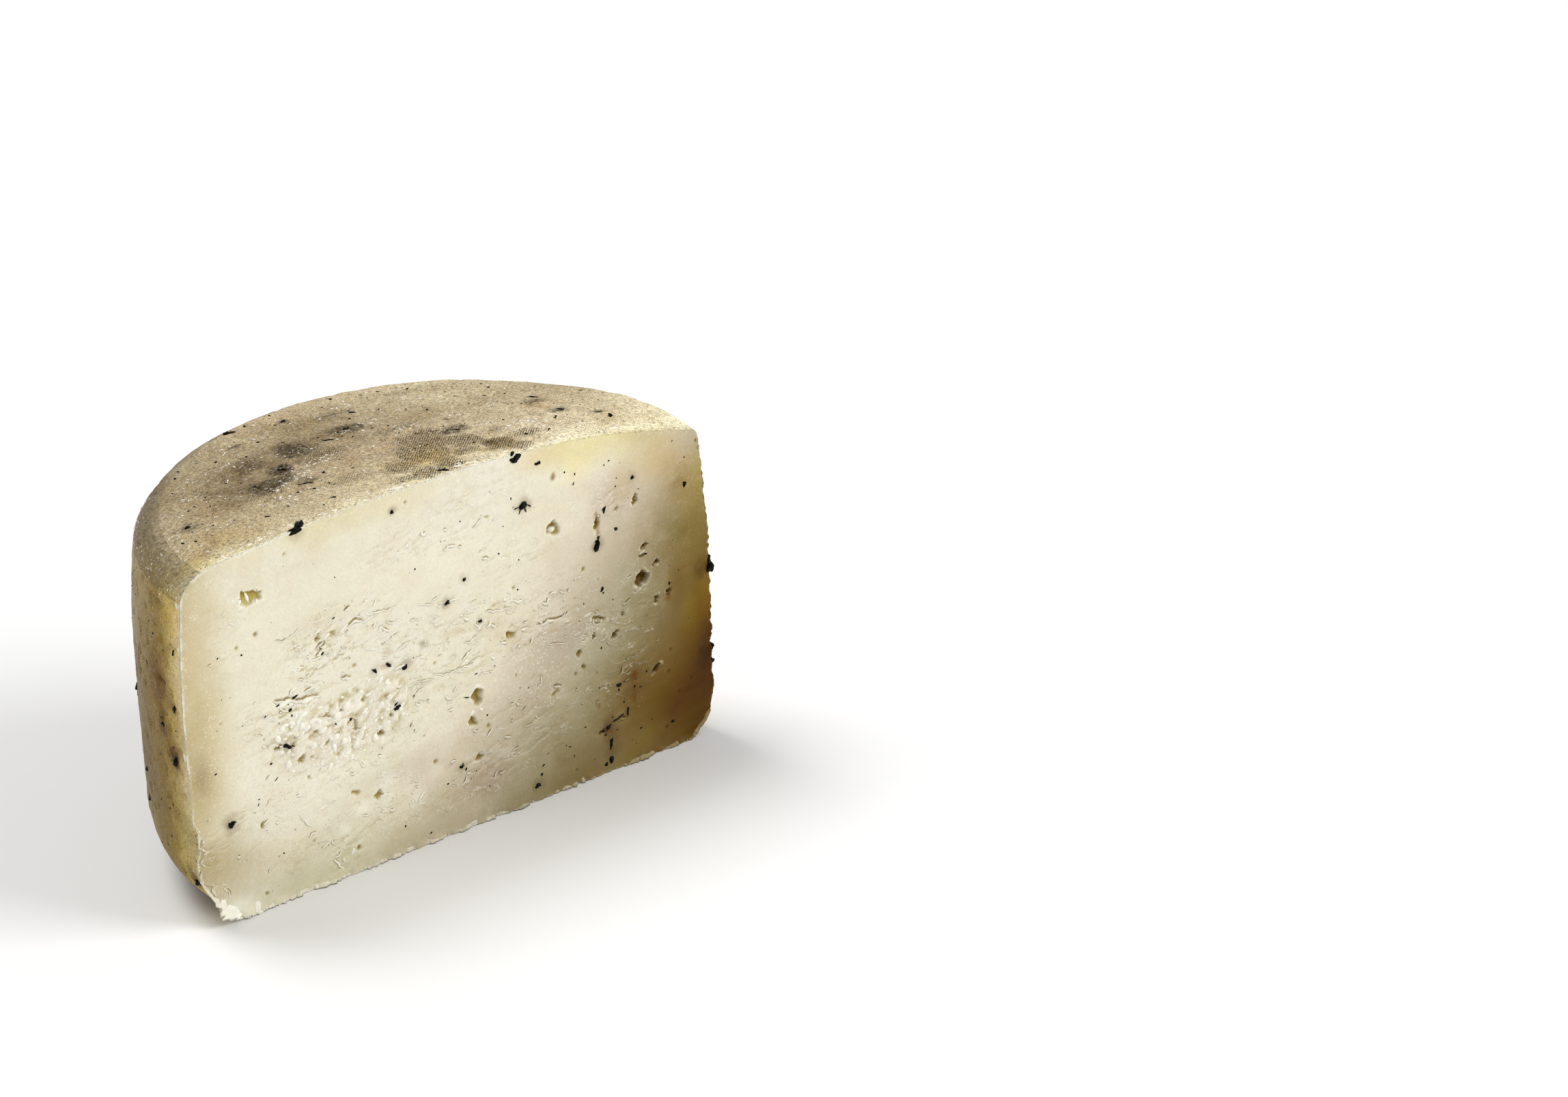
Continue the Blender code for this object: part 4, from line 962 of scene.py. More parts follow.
def bedded(place, long_way, out, length, width, thickness, stands):
    """Rows of numbers for bits: middle, long direction, outward direction and three sizes.

    The share of its thickness that a bit stands out of the surface sets how deep its middle lies.
    """
    thick = thickness * width
    out = unit(out)
    middles = place + out * ((stands - 0.5) * thick)[:, None]
    return np.column_stack([middles, long_way, out, length, width, thick])


def in_cut(places, thickness, stands):
    """Rows for bits bedded in the cut, from along, up, length, width and tilt in degrees."""
    along, up, length, width, tilt = np.array(places, float).T
    depth = cut_depth(along, up)[0]
    lean = np.radians(tilt)
    long_way = columns(np.cos(lean), 0 * lean, np.sin(lean))
    out = np.broadcast_to([0.0, -1.0, 0.0], long_way.shape)
    return bedded(columns(along, depth, up), long_way, out, length, width, thickness, stands)


def grains_of(rows, detail, seed, lumpiness):
    """Rounded grains: balls pushed in and out by a random field that differs from grain to grain."""
    balls, triangles = unit_balls(len(rows), detail)
    shift = 9.0 * np.arange(len(rows))[:, None]
    push = grain(balls[..., 0] + shift, balls[..., 1], balls[..., 2], 1.1, seed, 2)
    return set_down(balls * (1 + lumpiness * push)[..., None], triangles, rows)


draw = np.random.default_rng(401)
patch_places = []
while len(patch_places) < PATCH_GRAINS:
    turn = draw.uniform(0, 2 * math.pi)
    reach = math.sqrt(draw.uniform(0, 1))
    along = CRUMBLE_CENTRE[0] + CRUMBLE_RADII[0] * reach * math.cos(turn)
    up = CRUMBLE_CENTRE[1] + CRUMBLE_RADII[1] * reach * math.sin(turn)
    length = between(PATCH_GRAIN_LENGTH, draw.uniform() ** 2)
    patch_places.append((along, up, length, length * draw.uniform(0.35, 0.8), draw.normal(25, 40)))
small_places = []
for _ in range(SMALL_CLUSTERS):
    along = draw.uniform(-62, 44)
    up = draw.uniform(4, 74)
    spread = draw.uniform(0.5, 2.2)
    for _ in range(int(draw.integers(3, 11))):
        length = between(SMALL_GRAIN_LENGTH, draw.uniform() ** 2)
        small_places.append((along + 1.5 * spread * draw.normal(), up + 0.7 * spread * draw.normal(), length,
                             length * draw.uniform(0.5, 0.95), draw.uniform(0, 180)))
for along, up, wide, high, strength in FLECKS:
    for _ in range(int(6 + 4 * strength * min(wide * high, 10))):
        length = SMALL_GRAIN_LENGTH[0] + 0.26 * draw.uniform() ** 2
        small_places.append((along + 0.6 * wide * draw.normal(), up + 0.6 * high * draw.normal(), length,
                             length * draw.uniform(0.4, 0.9), draw.uniform(0, 180)))
small_places = [place for place in small_places if abs(place[0]) < 63 and 1.5 < place[1] < 75]
large_rows = in_cut(LARGE_GRAINS + patch_places, GRAIN_THICKNESS, GRAIN_STANDS)
small_rows = in_cut(small_places, GRAIN_THICKNESS, GRAIN_STANDS)
large_corners, large_faces = grains_of(large_rows, detail=3, seed=402, lumpiness=GRAIN_LUMPS)
small_corners, small_faces = grains_of(small_rows, detail=2, seed=403, lumpiness=GRAIN_LUMPS)
curd_corners = np.concatenate([large_corners, small_corners])
curd = make_piece("curd_grains", curd_corners, [large_faces, small_faces + len(large_corners)])
x, _, z = curd_corners.T
add_tone(curd, washed(cut_tone(x, z), 0.6 - 0.35 * ease(x - 0.95 * z, -25, 15), CHALK))
curd.data.materials.append(paste_material("moist_curd", rough=0.3, scatter=0.0, shine=0.3))
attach(curd, "root")
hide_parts("cheese_half")


# -------------------- torn lips
# The lower side of each tear is a thin lip of paste that the knife has lifted: it stands out along the
# tear, catches the light on its crumbly upper edge and runs out into the cut a millimetre below.
LIP_HEIGHT_MM = (0.04, 0.2)
LIP_WIDTH_MM = (0.4, 1.2)
SHADOW_MM = (0.2, 0.42)  # width of the hollow line above the lip
HOLLOW_SHADE_TINT = (0.64, 0.57, 0.38)
# A lip's section, from the hollow over its edge and front to its root and round its back.  Share of the
#  width, share of the hollow's width, share of the height, how dark with painted shade, and how white with
#  torn curd and painted highlight
LIP_PROFILE = [
    (0, -1, -0.1, 0.3, 0), (0, -0.5, 0.05, 1, 0), (0, 0, 0.1, 1, 0), (0.02, 0, 0.95, 0, 1),
    (0.14, 0, 1, 0, 1), (0.45, 0, 0.5, 0, 0.5), (1, 0, -0.08, 0, 0), (0.9, 0, -0.9, 0, 0),
    (0.4, 0, -1.4, 0, 0), (0, -0.8, -0.9, 0, 0),
]


def weld(piece):
    """Merge the corners that lie on each other, where columns run together, and turn all faces outward."""
    mesh = bmesh.new()
    mesh.from_mesh(piece.data)
    bmesh.ops.remove_doubles(mesh, verts=mesh.verts[:], dist=1e-7)
    bmesh.ops.dissolve_degenerate(mesh, edges=mesh.edges[:], dist=1e-7)
    bmesh.ops.recalc_face_normals(mesh, faces=mesh.faces[:])
    mesh.to_mesh(piece.data)
    mesh.free()


lip_corners = []
lip_faces = []
lip_tones = []
for deep, *path in all_tears:
    line = tear_line(path)
    x, z = line.T
    taper = np.sqrt(np.sin(math.pi * np.linspace(0, 1, len(line))).clip(0, 1))
    strength = (deep - 0.2) / 0.7
    crumbly_edge = 0.6 + 0.6 * grain(x, 0, z, 0.5, 511, 2)
    height = taper * between(LIP_HEIGHT_MM, strength) * crumbly_edge.clip(0.15, 1.2)
    width = taper * between(LIP_WIDTH_MM, strength)
    width = width * (0.8 + 0.4 * grain(x, 0, z, 1.4, 512, 2))
    open_share = ease(grain(x, 0, z, 1.0, 514, 2), -0.5, 0.5)
    hollow = taper * between(SHADOW_MM, strength) * (0.3 + 0.7 * open_share)
    ahead = np.gradient(line, axis=0)
    ahead /= np.linalg.norm(ahead, axis=1)[:, None] + 1e-9
    below = columns(ahead[:, 1], -ahead[:, 0])
    ground = cut_tone(x, z)
    # white: the torn curd's white with a painted highlight on the lip's edge
    white = (0.7 + 0.3 * grain(x, 0, z, 1.2, 513)).clip(0, 1)
    white = washed(ground, white * (1 - 0.65 * ease(x - 0.95 * z, -25, 15)), CHALK)
    # dark: painted shade in the hollow above the lip
    dark = tinted(ground, (0.7 + 0.3 * strength) * (0.4 + 0.6 * open_share), HOLLOW_SHADE_TINT)
    rows = []
    for across, above, out, darkness, whiteness in LIP_PROFILE:
        place = line + below * (width * across + hollow * above)[:, None]
        depth = KNIFE_WAVE * waves(place[:, 0], 0, place[:, 1] * 1.6, 24, 11)
        rows.append(columns(place[:, 0], depth - 0.03 * taper - height * out, place[:, 1]))
        lip_tones.append(ground + (dark - ground) * darkness + (white - ground) * whiteness)
    numbers = np.arange(len(rows) * len(line)).reshape(len(rows), len(line))
    corners_before = sum(len(part) for part in lip_corners)
    lip_faces.append(grid_faces(np.concatenate([numbers, numbers[:1]])) + corners_before)
    lip_corners.append(np.stack(rows).reshape(-1, 3))
lips = make_piece("torn_lips", np.concatenate(lip_corners), [np.concatenate(lip_faces)])
add_tone(lips, np.concatenate(lip_tones))
weld(lips)
lips.data.materials.append(paste_material("torn_paste", rough=0.4, scatter=0.0, shine=0.1))
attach(lips, "root")
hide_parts("cheese_half")


# -------------------- rim crumbs
# Crumbs that the knife dragged to the edge of the cut: a thin broken white line where the top and the
# left wall meet the cut, larger torn flakes at the lower left, and fine teeth down the right edge.

CRUMB_THICKNESS = 0.8  # of a crumb's width
CRUMB_LUMPS = 0.28
FLAKE_LUMPS = 0.34
FLAKE_WHITENESS = 0.35
EDGE_POINTS = 1500  # points along each side of the outline
# Parts of the edge: side of the outline, start and end as shares of it, count, shortest, longest, whiteness
CRUMB_LINES = [
    ("top", 0.02, 0.62, 420, 0.12, 0.5, 0.7), ("top", 0.62, 0.99, 40, 0.12, 0.3, 0.4),
    ("left", 0.22, 0.97, 120, 0.1, 0.35, 0.5), ("left", 0, 0.25, 110, 0.15, 0.55, 0.7),
    ("right", 0.04, 0.97, 330, 0.2, 0.6, 0.1), ("base", 0, 0.3, 70, 0.15, 0.5, 0.7),
    ("base", 0.3, 1, 120, 0.15, 0.5, 0.4),
]
# Torn flakes at the lower left: along, up, length, width, tilt in degrees
TORN_FLAKES = [
    (-63.9, 20, 1.3, 0.6, 80), (-62.6, 16.9, 1.2, 0.6, 20), (-63.8, 15.4, 1, 0.5, 60),
    (-64.3, 12.2, 1.6, 0.45, 88), (-61.9, 8.2, 1.5, 0.6, 110), (-59.2, 7.6, 1.3, 0.5, 120),
    (-58.4, 5.9, 1.1, 0.5, 80), (-60.6, 5.6, 1.4, 0.6, 50), (-60, 2.6, 1.5, 0.6, 130),
    (-58.4, 1.2, 1.5, 0.6, 165), (-56.2, 0.8, 1.6, 0.6, 175), (-54, 0.8, 1.5, 0.5, 5),
    (-51.8, 0.7, 1.3, 0.4, 0), (-57.6, 2.6, 1, 0.5, 150), (-55.2, 2, 0.9, 0.4, 10),
    (-31.8, 3.9, 1.4, 0.6, 120),
]
outline = dict(zip(("base", "top", "left", "right"), cut_outline(PASTE_INSET)))
draw = np.random.default_rng(411)
crumb_rows = []
whiteness = []
for side, start, end, count, shortest, longest, white in CRUMB_LINES:
    line = even(outline[side], EDGE_POINTS)
    at = (draw.uniform(start, end, count) * (EDGE_POINTS - 1)).astype(int)
    ahead = line[np.minimum(at + 1, EDGE_POINTS - 1)] - line[np.maximum(at - 1, 0)]
    length = shortest + (longest - shortest) * draw.uniform(size=count) ** 3
    width = length * draw.uniform(0.5, 0.95, count)
    place = columns(line[at, 0], 0 * at, line[at, 1])
    place = ragged(place, np.zeros(count))
    inward = unit((CUT_MIDDLE - place) * [1, 0, 1])
    place = place + inward * (0.1 + 0.35 * draw.uniform(size=count) ** 2)[:, None]
    out = np.array([0.0, -1.0, 0.0]) - inward * draw.uniform(0.1, 0.9, count)[:, None]
    long_way = unit(columns(ahead[:, 0], 0 * length, ahead[:, 1]))
    long_way = long_way + draw.normal(0, 0.4, long_way.shape)
    crumb_rows.append(bedded(place, long_way, out, length, width, CRUMB_THICKNESS,
                             draw.uniform(0.25, 0.6, count)))
    whiteness.append(np.full(count, white))
crumb_rows = np.concatenate(crumb_rows)
crumb_corners, crumb_faces = grains_of(crumb_rows, detail=2, seed=412, lumpiness=CRUMB_LUMPS)
flake_rows = in_cut(TORN_FLAKES, thickness=0.5, stands=0.55)
flake_corners, flake_faces = grains_of(flake_rows, detail=3, seed=413, lumpiness=FLAKE_LUMPS)
rim_corners = np.concatenate([crumb_corners, flake_corners])
rim_corners[:, 2] = np.maximum(rim_corners[:, 2], 0.03)
crumbs = make_piece("rim_crumbs", rim_corners, [crumb_faces, flake_faces + len(crumb_corners)])
whiteness = np.repeat(np.concatenate(whiteness), len(crumb_corners) // len(crumb_rows))
whiteness = np.append(whiteness, np.full(len(flake_corners), FLAKE_WHITENESS))
add_tone(crumbs, washed(cut_tone(rim_corners[:, 0], rim_corners[:, 2]), whiteness, CHALK))
crumbs.data.materials.append(curd.data.materials[0])
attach(crumbs, "root")
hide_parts("cheese_half")


# -------------------- foot frill
# A thin ragged frill of paste that the knife pressed out against the board: it stands forward of the
# cut all along its base, is widest at the left corner, and leaves a dark gap under its edge.
FRILL_COLUMNS = 1400
FRILL_REACH = 0.95
FLAP_CENTRE = -55.6  # the flap at the left corner
FLAP_SPREAD = 3.5  # how far it spreads sideways under the rounding
# The section, from its root on the cut over its edge and back underneath: inset, forward
SECTION = [(1, -0.15), (0.85, 0.12), (0.45, 0.5), (0.1, 0.85), (0, 1), (0.02, 0.8), (0.2, 0.35), (0.3, -0.2)]

line = np.concatenate([wall_point(np.full(80, math.pi), np.linspace(2.15, 3, 80))[:-1],
                       wall_point(np.zeros(60), np.linspace(3, 2.3, 60))])[:, [0, 2]]
line = even(line, FRILL_COLUMNS)
ahead = unit(np.gradient(line, axis=0))
down = columns(ahead[:, 1], -ahead[:, 0])
x, z = line[:, 0], line[:, 1]
teeth = 0.5 + 0.8 * grain(x, 0, z, 3.4, 421, 2) + 0.7 * grain(x, 0, z, 0.6, 422, 2)
teeth = np.clip(teeth, 0.02, 1.7)
column = np.arange(FRILL_COLUMNS)
ends = ease(column, 0, 60) * ease(-column, 1 - FRILL_COLUMNS, 120 - FRILL_COLUMNS)
corner_flap = bump((x - FLAP_CENTRE) / 9.0)
reach = (FRILL_REACH * teeth * (1 - corner_flap) + corner_flap * (1.25 + 0.25 * teeth)) * ends
root = (0.9 + 0.5 * grain(x, 0, z, 1.7, 423, 2)) * (1 + 1.6 * corner_flap)
over = 0.3 * (teeth - 0.4) * ends + 0.5 * corner_flap * grain(x, 0, z, 0.8, 424, 3)
frill_rows = []
spread = FLAP_SPREAD * bump((x - FLAP_CENTRE) / 7.4) * (0.9 + 0.45 * grain(x, 0, z, 0.9, 425, 3))
for inset, forward in SECTION:
    away = np.where(forward >= 1.0, -over, root * inset)
    front_y = -reach * forward if forward > 0 else np.full(FRILL_COLUMNS, -forward * 2.0)
    at = line - down * away[:, None]
    at[:, 0] -= spread * (1 - inset) ** 0.5
    above_board = np.maximum(at[:, 1], 0.04 + 0.12 * (forward > 0.7))
    frill_rows.append(columns(at[:, 0], front_y, above_board))
frill_grid = np.stack(frill_rows)
frill_grid[..., 1] = np.maximum(frill_grid[..., 1], -LIP_REACH)
numbers = np.arange(len(SECTION) * FRILL_COLUMNS).reshape(len(SECTION), FRILL_COLUMNS)
around = np.concatenate([numbers, numbers[:1]])
frill_corners = frill_grid.reshape(-1, 3)
caps = [numbers[:, :1].T, numbers[::-1, -1:].T]
frill = make_piece("foot_frill", frill_corners, [grid_faces(around)] + caps)
x, _, z = frill_corners.T
add_tone(frill, washed(cut_tone(x, z), 0.3 + 0.35 * bump((x + 55) / 13), CHALK))
weld(frill)
frill.data.materials.append(curd.data.materials[0])
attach(frill, "root")
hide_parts("cheese_half")


# -------------------- rind
# The rind is the paste's own outer skin, dried and darkened on the shelf, and printed by the mould's
# cloth with a fine weave.  It is one solid that fills the wheel behind the cut, with a thin rim in front.
RIND_COLUMNS = 360
TOP_ROWS = 104
ROUND_ROWS = 8
WALL_ROWS = 118
FOOT_ROWS = 14
BASE_ROWS = 10
RECESS = 4.2  # how far behind the cut the rind's solid is closed
RIM_RINGS = ((0.12, 0.04), (0.5, 0.5), (1.2, RECESS))  # the thin rim round the cut: how far in, how far back


def rind_relief(points, normal):
    """Dents, fine wrinkles and pinholes of the rind, as a height along its normal."""
    x, y, z = np.moveaxis(points, -1, 0)
    dents = 0.12 * grain(x, y, z, 11, 101, 2)
    wrinkles = 0.09 * grain(x, y, z, 2.1, 102, 3)
    pits = -0.4 * ease(grain(x, y, z, 1.7, 103), 0.66, 0.95)
    front_calm = ease(y, 0, 1.5)
    return points + normal * ((dents + wrinkles + pits - 0.1) * front_calm)[..., None]


turns = np.linspace(0, math.pi, RIND_COLUMNS + 1)
upper_rim = wall_point(turns, 0 * turns)
lower_rim = wall_point(turns, 0 * turns + 3)
share = np.linspace(0, 1, RIND_COLUMNS + 1)
top_front = columns(between(upper_rim[[0, -1], 0], share), 0 * share)
base_front = columns(between(lower_rim[[0, -1], 0], share), 0 * share)

# rows nearer the cut are closer together, for its ragged edge
step = np.linspace(0, 1, TOP_ROWS)[:, None, None]
step = 0.45 * step + 0.55 * step ** 1.5
flat = top_front[None] + (upper_rim[None, :, :2] - top_front[None]) * step
rind_top = top_point(flat[..., 0], flat[..., 1])
runs = np.concatenate([np.linspace(0, 1, ROUND_ROWS + 1)[1:], np.linspace(1, 2, WALL_ROWS + 1)[1:],
                       np.linspace(2, 3, FOOT_ROWS + 1)[1:]])
rind_wall = wall_point(turns[None] + 0 * runs[:, None], runs[:, None] + 0 * turns[None])
step = np.linspace(0, 1, BASE_ROWS + 1)[1:, None, None]
step = 1 - (1 - step) ** 1.6
flat = lower_rim[None, :, :2] + (base_front[None] - lower_rim[None, :, :2]) * step
rind_base = np.concatenate([flat, 0 * flat[..., :1]], axis=-1)
rind_rows = np.concatenate([rind_top, rind_wall, rind_base])

# straight out of the rind: up on the top, outward on the wall, and turning between them at the roundings
turned_over = np.clip(runs, 0, 1) * math.pi / 2 + np.clip(runs - 2, 0, 1) * math.pi / 2
tilt = np.concatenate([np.zeros(TOP_ROWS), turned_over, np.full(BASE_ROWS, math.pi)])[:, None]
sideways = np.sin(tilt)
outward = columns(np.cos(turns) * sideways, np.sin(turns) * sideways, np.cos(tilt) + 0 * turns)
rind_rows = rind_relief(rind_rows, outward * ease(rind_rows[..., 2], 0.2, 3)[..., None])
rind_rows = ragged(rind_rows, rind_rows[..., 1] + 0.02)
rind_rows[..., 1] = np.maximum(rind_rows[..., 1], -LIP_REACH)

row_count = len(rind_rows)
numbers = np.arange(row_count * (RIND_COLUMNS + 1)).reshape(row_count, RIND_COLUMNS + 1)
wall_start, wall_end = TOP_ROWS - 1, row_count - BASE_ROWS
loop = np.concatenate([numbers[0, :-1], numbers[wall_start:wall_end, -1][:-1], numbers[-1, :0:-1],
                       numbers[wall_start:wall_end, 0][:0:-1]])
shell = rind_rows.reshape(-1, 3)
edge = shell[loop]
ahead = np.roll(edge, -3, axis=0) - np.roll(edge, 3, axis=0)
sideways = unit(columns(-ahead[:, 2], ahead[:, 0]))
to_middle = (CUT_MIDDLE - edge)[:, [0, 2]]
sideways *= np.sign((sideways * to_middle).sum(axis=1))[:, None]
rings = []
for inset, back in RIM_RINGS:
    ring = edge.copy()
    ring[:, [0, 2]] += inset * sideways
    ring[:, 1] = edge[:, 1] + back if back < 1 else back
    rings.append(ring)
ring = CUT_MIDDLE + (edge - CUT_MIDDLE) * 0.5
ring[:, 1] = RECESS
rings.append(ring)
rind_corners, rind_faces = closed_behind(numbers, loop, shell, rings, RECESS)
rind = make_piece("rind", rind_corners, rind_faces)


EDGE_WHITE = (252, 244, 222)
# The top's colours by place along the cut in mm, lighter to the right as painted light
TOP_GROUND = [
    (-62, 171, 155, 121), (-45, 167, 150, 116), (-28, 167, 150, 117), (-10, 174, 156, 122),
    (8, 179, 162, 129), (28, 189, 173, 140), (46, 190, 174, 139), (62, 203, 189, 154),
]
# and its tint by distance behind the cut, with painted sheen lightening the back
TOP_DEPTH = [
    (0, 1.3, 1.36, 1.44), (3, 1.2, 1.24, 1.3), (6, 1.14, 1.16, 1.19), (10, 1.09, 1.1, 1.12),
    (16, 1.04, 1.04, 1.05), (24, 0.99, 0.98, 0.98), (34, 0.93, 0.92, 0.91), (44, 0.97, 0.97, 0.97),
    (54, 1.07, 1.07, 1.08), (64, 1.13, 1.13, 1.15),
]
# The wall's colours by turn round the wheel in degrees, from the right end of the cut to its left end
WALL_GROUND = [
    (0, 150, 128, 84), (5, 150, 132, 90), (15, 140, 124, 90), (60, 146, 132, 102), (100, 140, 126, 96),
    (140, 140, 127, 100), (153, 142, 130, 101), (160, 142, 126, 88), (166, 138, 117, 71),
    (171, 140, 118, 64), (175, 173, 152, 86), (178, 210, 189, 133), (180, 220, 203, 158),
]
# and their tint by height
WALL_HEIGHT_TINT = [
    (0, 0.9, 0.9, 0.85), (5, 1.08, 1.1, 1.04), (12, 1.05, 1.06, 1), (20, 1, 1, 0.97), (40, 1, 1, 1),
    (60, 1.08, 1.08, 1.09), (74, 1.2, 1.2, 1.22),
]
# Tints of parts of the top: along, into the cheese, radius along, radius across, tint
TOP_TINTS = [
    (-22, 31, 13, 6.5, 0.8, 0.78, 0.75), (-2, 42, 10, 4, 0.89, 0.87, 0.84),
    (-12, 50, 7, 4, 0.9, 0.88, 0.86), (28, 40, 22, 11, 1.07, 1.08, 1.09), (2, 20, 14, 5, 0.95, 0.93, 0.92),
    (-26, 20, 10, 4, 1.04, 1.05, 1.08), (-30, 24, 13, 5.5, 0.86, 0.85, 0.83),
    (-8, 34, 12, 5, 0.88, 0.86, 0.82), (-28, 32, 10, 4.5, 0.88, 0.85, 0.8),
    (16, 30, 14, 5, 0.97, 0.96, 0.94), (21, 47, 7, 2, 0.86, 0.86, 0.84), (-5, 46, 12, 3, 0.9, 0.88, 0.84),
    (5, 50, 8, 2.5, 0.93, 0.92, 0.9), (-37, 27, 6, 3, 0.88, 0.86, 0.82), (-47, 8, 9, 7, 0.95, 0.92, 0.85),
    (-40, 20, 12, 5, 0.95, 0.93, 0.91), (6, 12, 16, 7, 0.95, 0.93, 0.9), (28, 44, 8, 3, 0.93, 0.91, 0.88),
    (38, 22, 7, 3, 0.94, 0.91, 0.86), (-28, 11, 10, 3.5, 1.04, 1.05, 1.07),
    (-51, 24, 6, 6, 1.03, 1.04, 1.07), (-36, 46, 8, 4, 1.05, 1.06, 1.08), (-57, 3, 5, 4, 0.95, 0.92, 0.78),
    (2, 3, 10, 2.8, 0.86, 0.84, 0.79), (18, 4, 9, 4, 0.9, 0.87, 0.81), (20, 36, 14, 6, 1.04, 1.05, 1.06),
    (-7.7, 35.7, 7, 2.4, 0.9, 0.88, 0.84), (-3.5, 9.2, 3, 1.6, 0.94, 0.92, 0.88),
    (17.5, 6.6, 6.8, 4.2, 0.78, 0.73, 0.63), (2, 9, 6, 7, 1.06, 1.03, 0.92),
]
# Dark smudges on the top, where truffle lies under the skin: along, into the cheese, radii, strength
SMUDGES = [
    (-0.8, 35.2, 4.4, 3.2, 1), (-15.3, 32.4, 5.6, 5, 1), (-22.4, 26.5, 3.6, 3, 1),
    (-28.8, 22.9, 7, 4.4, 0.6), (14.8, 19.2, 4.2, 2.6, 1), (-27.2, 34, 8, 4, 0.25),
    (15.6, 8.6, 3, 1.6, 0.5), (-21.5, 44.5, 3.4, 1.2, 0.5), (38.5, 24.5, 4, 2, 0.6),
    (39.6, 16.8, 3.6, 2, 0.6), (-22.4, 17.5, 4, 2.4, 0.5), (-12, 27, 12, 3, 0.3), (-34, 20, 9, 3.4, 0.3),
    (46, 12.1, 3, 1.6, 0.5), (4, 28, 12, 3, 0.3), (-38, 30, 7, 3, 0.2), (21, 14.2, 7, 1.8, 0.3),
    (4, 46, 5, 2, 0.35), (-49.6, 17.5, 3, 2.4, 0.5), (-6.5, 49.5, 2.6, 2, 0.5),
]
# Tints of parts of the wall: turn, up, radius in degrees, radius up, tint
WALL_TINTS = [
    (170.4, 53.5, 3.6, 6, 0.88, 0.82, 0.74), (172.6, 41, 3, 3, 0.84, 0.77, 0.66),
    (160, 30, 5, 9, 0.92, 0.9, 0.88), (166, 18, 5, 7, 0.95, 0.93, 0.9), (176.6, 46, 2.6, 6, 0.93, 0.9, 0.8),
    (177, 28, 2.2, 7, 0.94, 0.93, 0.92), (155, 58, 6, 8, 1.05, 1.06, 1.1), (163, 66, 5, 6, 1.04, 1.06, 1.1),
    (176, 66, 4, 8, 1, 0.98, 0.86), (140, 44, 6, 9, 0.86, 0.8, 0.7), (118, 26, 5, 8, 0.8, 0.7, 0.56),
    (97, 52, 6, 7, 0.84, 0.78, 0.68), (73, 35, 3, 6, 0.66, 0.5, 0.32), (52, 20, 6, 7, 0.84, 0.78, 0.66),
    (31, 47, 5, 8, 0.8, 0.72, 0.58), (12, 24, 3, 6, 0.7, 0.56, 0.38), (105, 60, 9, 7, 1.05, 1.06, 1.08),
    (62, 62, 9, 6, 1.05, 1.05, 1.08), (128, 12, 9, 6, 0.94, 0.92, 0.84), (86, 14, 12, 6, 0.93, 0.92, 0.86),
    (1, 38.9, 3, 3.5, 0.6, 0.45, 0.28), (178.4, 11, 3, 5, 0.76, 0.72, 0.6),
    (178.2, 21, 2.4, 7, 0.88, 0.88, 0.83), (168.6, 50, 3.6, 6, 0.9, 0.84, 0.75),
]
# Brown stains round truffle in the wall: turn, up, radius in degrees, radius up, strength, colour
WALL_STAINS = [
    (175.6, 37, 3.6, 4.6, 0.75, 122, 90, 34), (176, 35.8, 2, 2.2, 1, 64, 28, 4),
    (172, 50.6, 4.4, 7, 0.7, 122, 90, 42), (171.6, 50, 2.4, 3.4, 0.7, 98, 64, 20),
    (176.6, 10.4, 2.6, 3.2, 0.6, 92, 74, 34), (171.9, 41.6, 1.8, 2.2, 0.6, 86, 62, 34),
    (176.8, 47.3, 1.4, 1.8, 0.5, 100, 78, 40),
]
# Patches of the top where the cloth's mesh shows in olive, darkest in the print's hollows as painted shade:
# along, into the cheese, radii, strength
MESH_PATCHES = [
    (2.2, 13.4, 6.4, 6.4, 1), (2.9, 5, 3.8, 4.8, 1), (8.5, 15.5, 4, 4, 0.6), (12.9, 13.5, 5.2, 4.4, 1),
    (17.3, 7, 4.6, 4.6, 1), (20, 3.4, 3.2, 3.2, 0.9), (-3.4, 3, 5, 3, 0.7), (-5.8, 8.8, 5, 4, 0.5),
    (9, 8, 5, 3, 0.45), (25, 9, 5, 3, 0.4), (8, 21, 9, 4, 0.45), (-16, 12, 9, 4, 0.3),
    (-30, 20, 10, 5, 0.35), (-9, 4, 4, 2.5, 0.4), (-14, 27, 8, 5, 0.3),
]
# Patches where its threads glint white with dried brine: along, into the cheese, radii, strength
GLINT_PATCHES = [
    (-32, 14.5, 9, 2.4, 1), (-26, 19.5, 8, 2, 0.9), (-16, 24.5, 9, 2.6, 0.6), (30, 13.5, 9, 3.4, 1),
    (24, 27, 10, 2.6, 0.8), (-13, 31.5, 6, 1.8, 0.7), (-46, 14, 7, 5, 0.4), (-33, 36, 9, 3, 0.4),
    (36, 6, 10, 3, 0.7), (-56, 14, 5, 9, 0.5), (7, 27, 8, 2.5, 0.5), (-22, 4, 10, 2.5, 0.4),
    (0, 45, 10, 3, 0.4), (-42, 30, 5, 3, 0.4), (10, 3, 14, 1.6, 0.6), (-20.8, 21.2, 4, 2, 1),
    (-30.8, 12.6, 6, 2, 1), (-26.8, 14.6, 5, 2, 1), (21.9, 18.7, 5, 2, 1), (-16.3, 46.1, 5, 2, 0.9),
    (4.3, 35.4, 3, 1.4, 0.9), (-2.8, 34.1, 4, 1.2, 0.9), (-40, 2, 18, 1.8, 0.8), (-20, 1.6, 16, 1.6, 0.9),
    (30, 2, 20, 2.4, 0.9),
]
x, y, z = np.moveaxis(rind_corners, -1, 0)
rest = len(rind_corners) - numbers.size
rows_down = np.concatenate([np.zeros(TOP_ROWS), runs, np.full(BASE_ROWS, 3.0)])
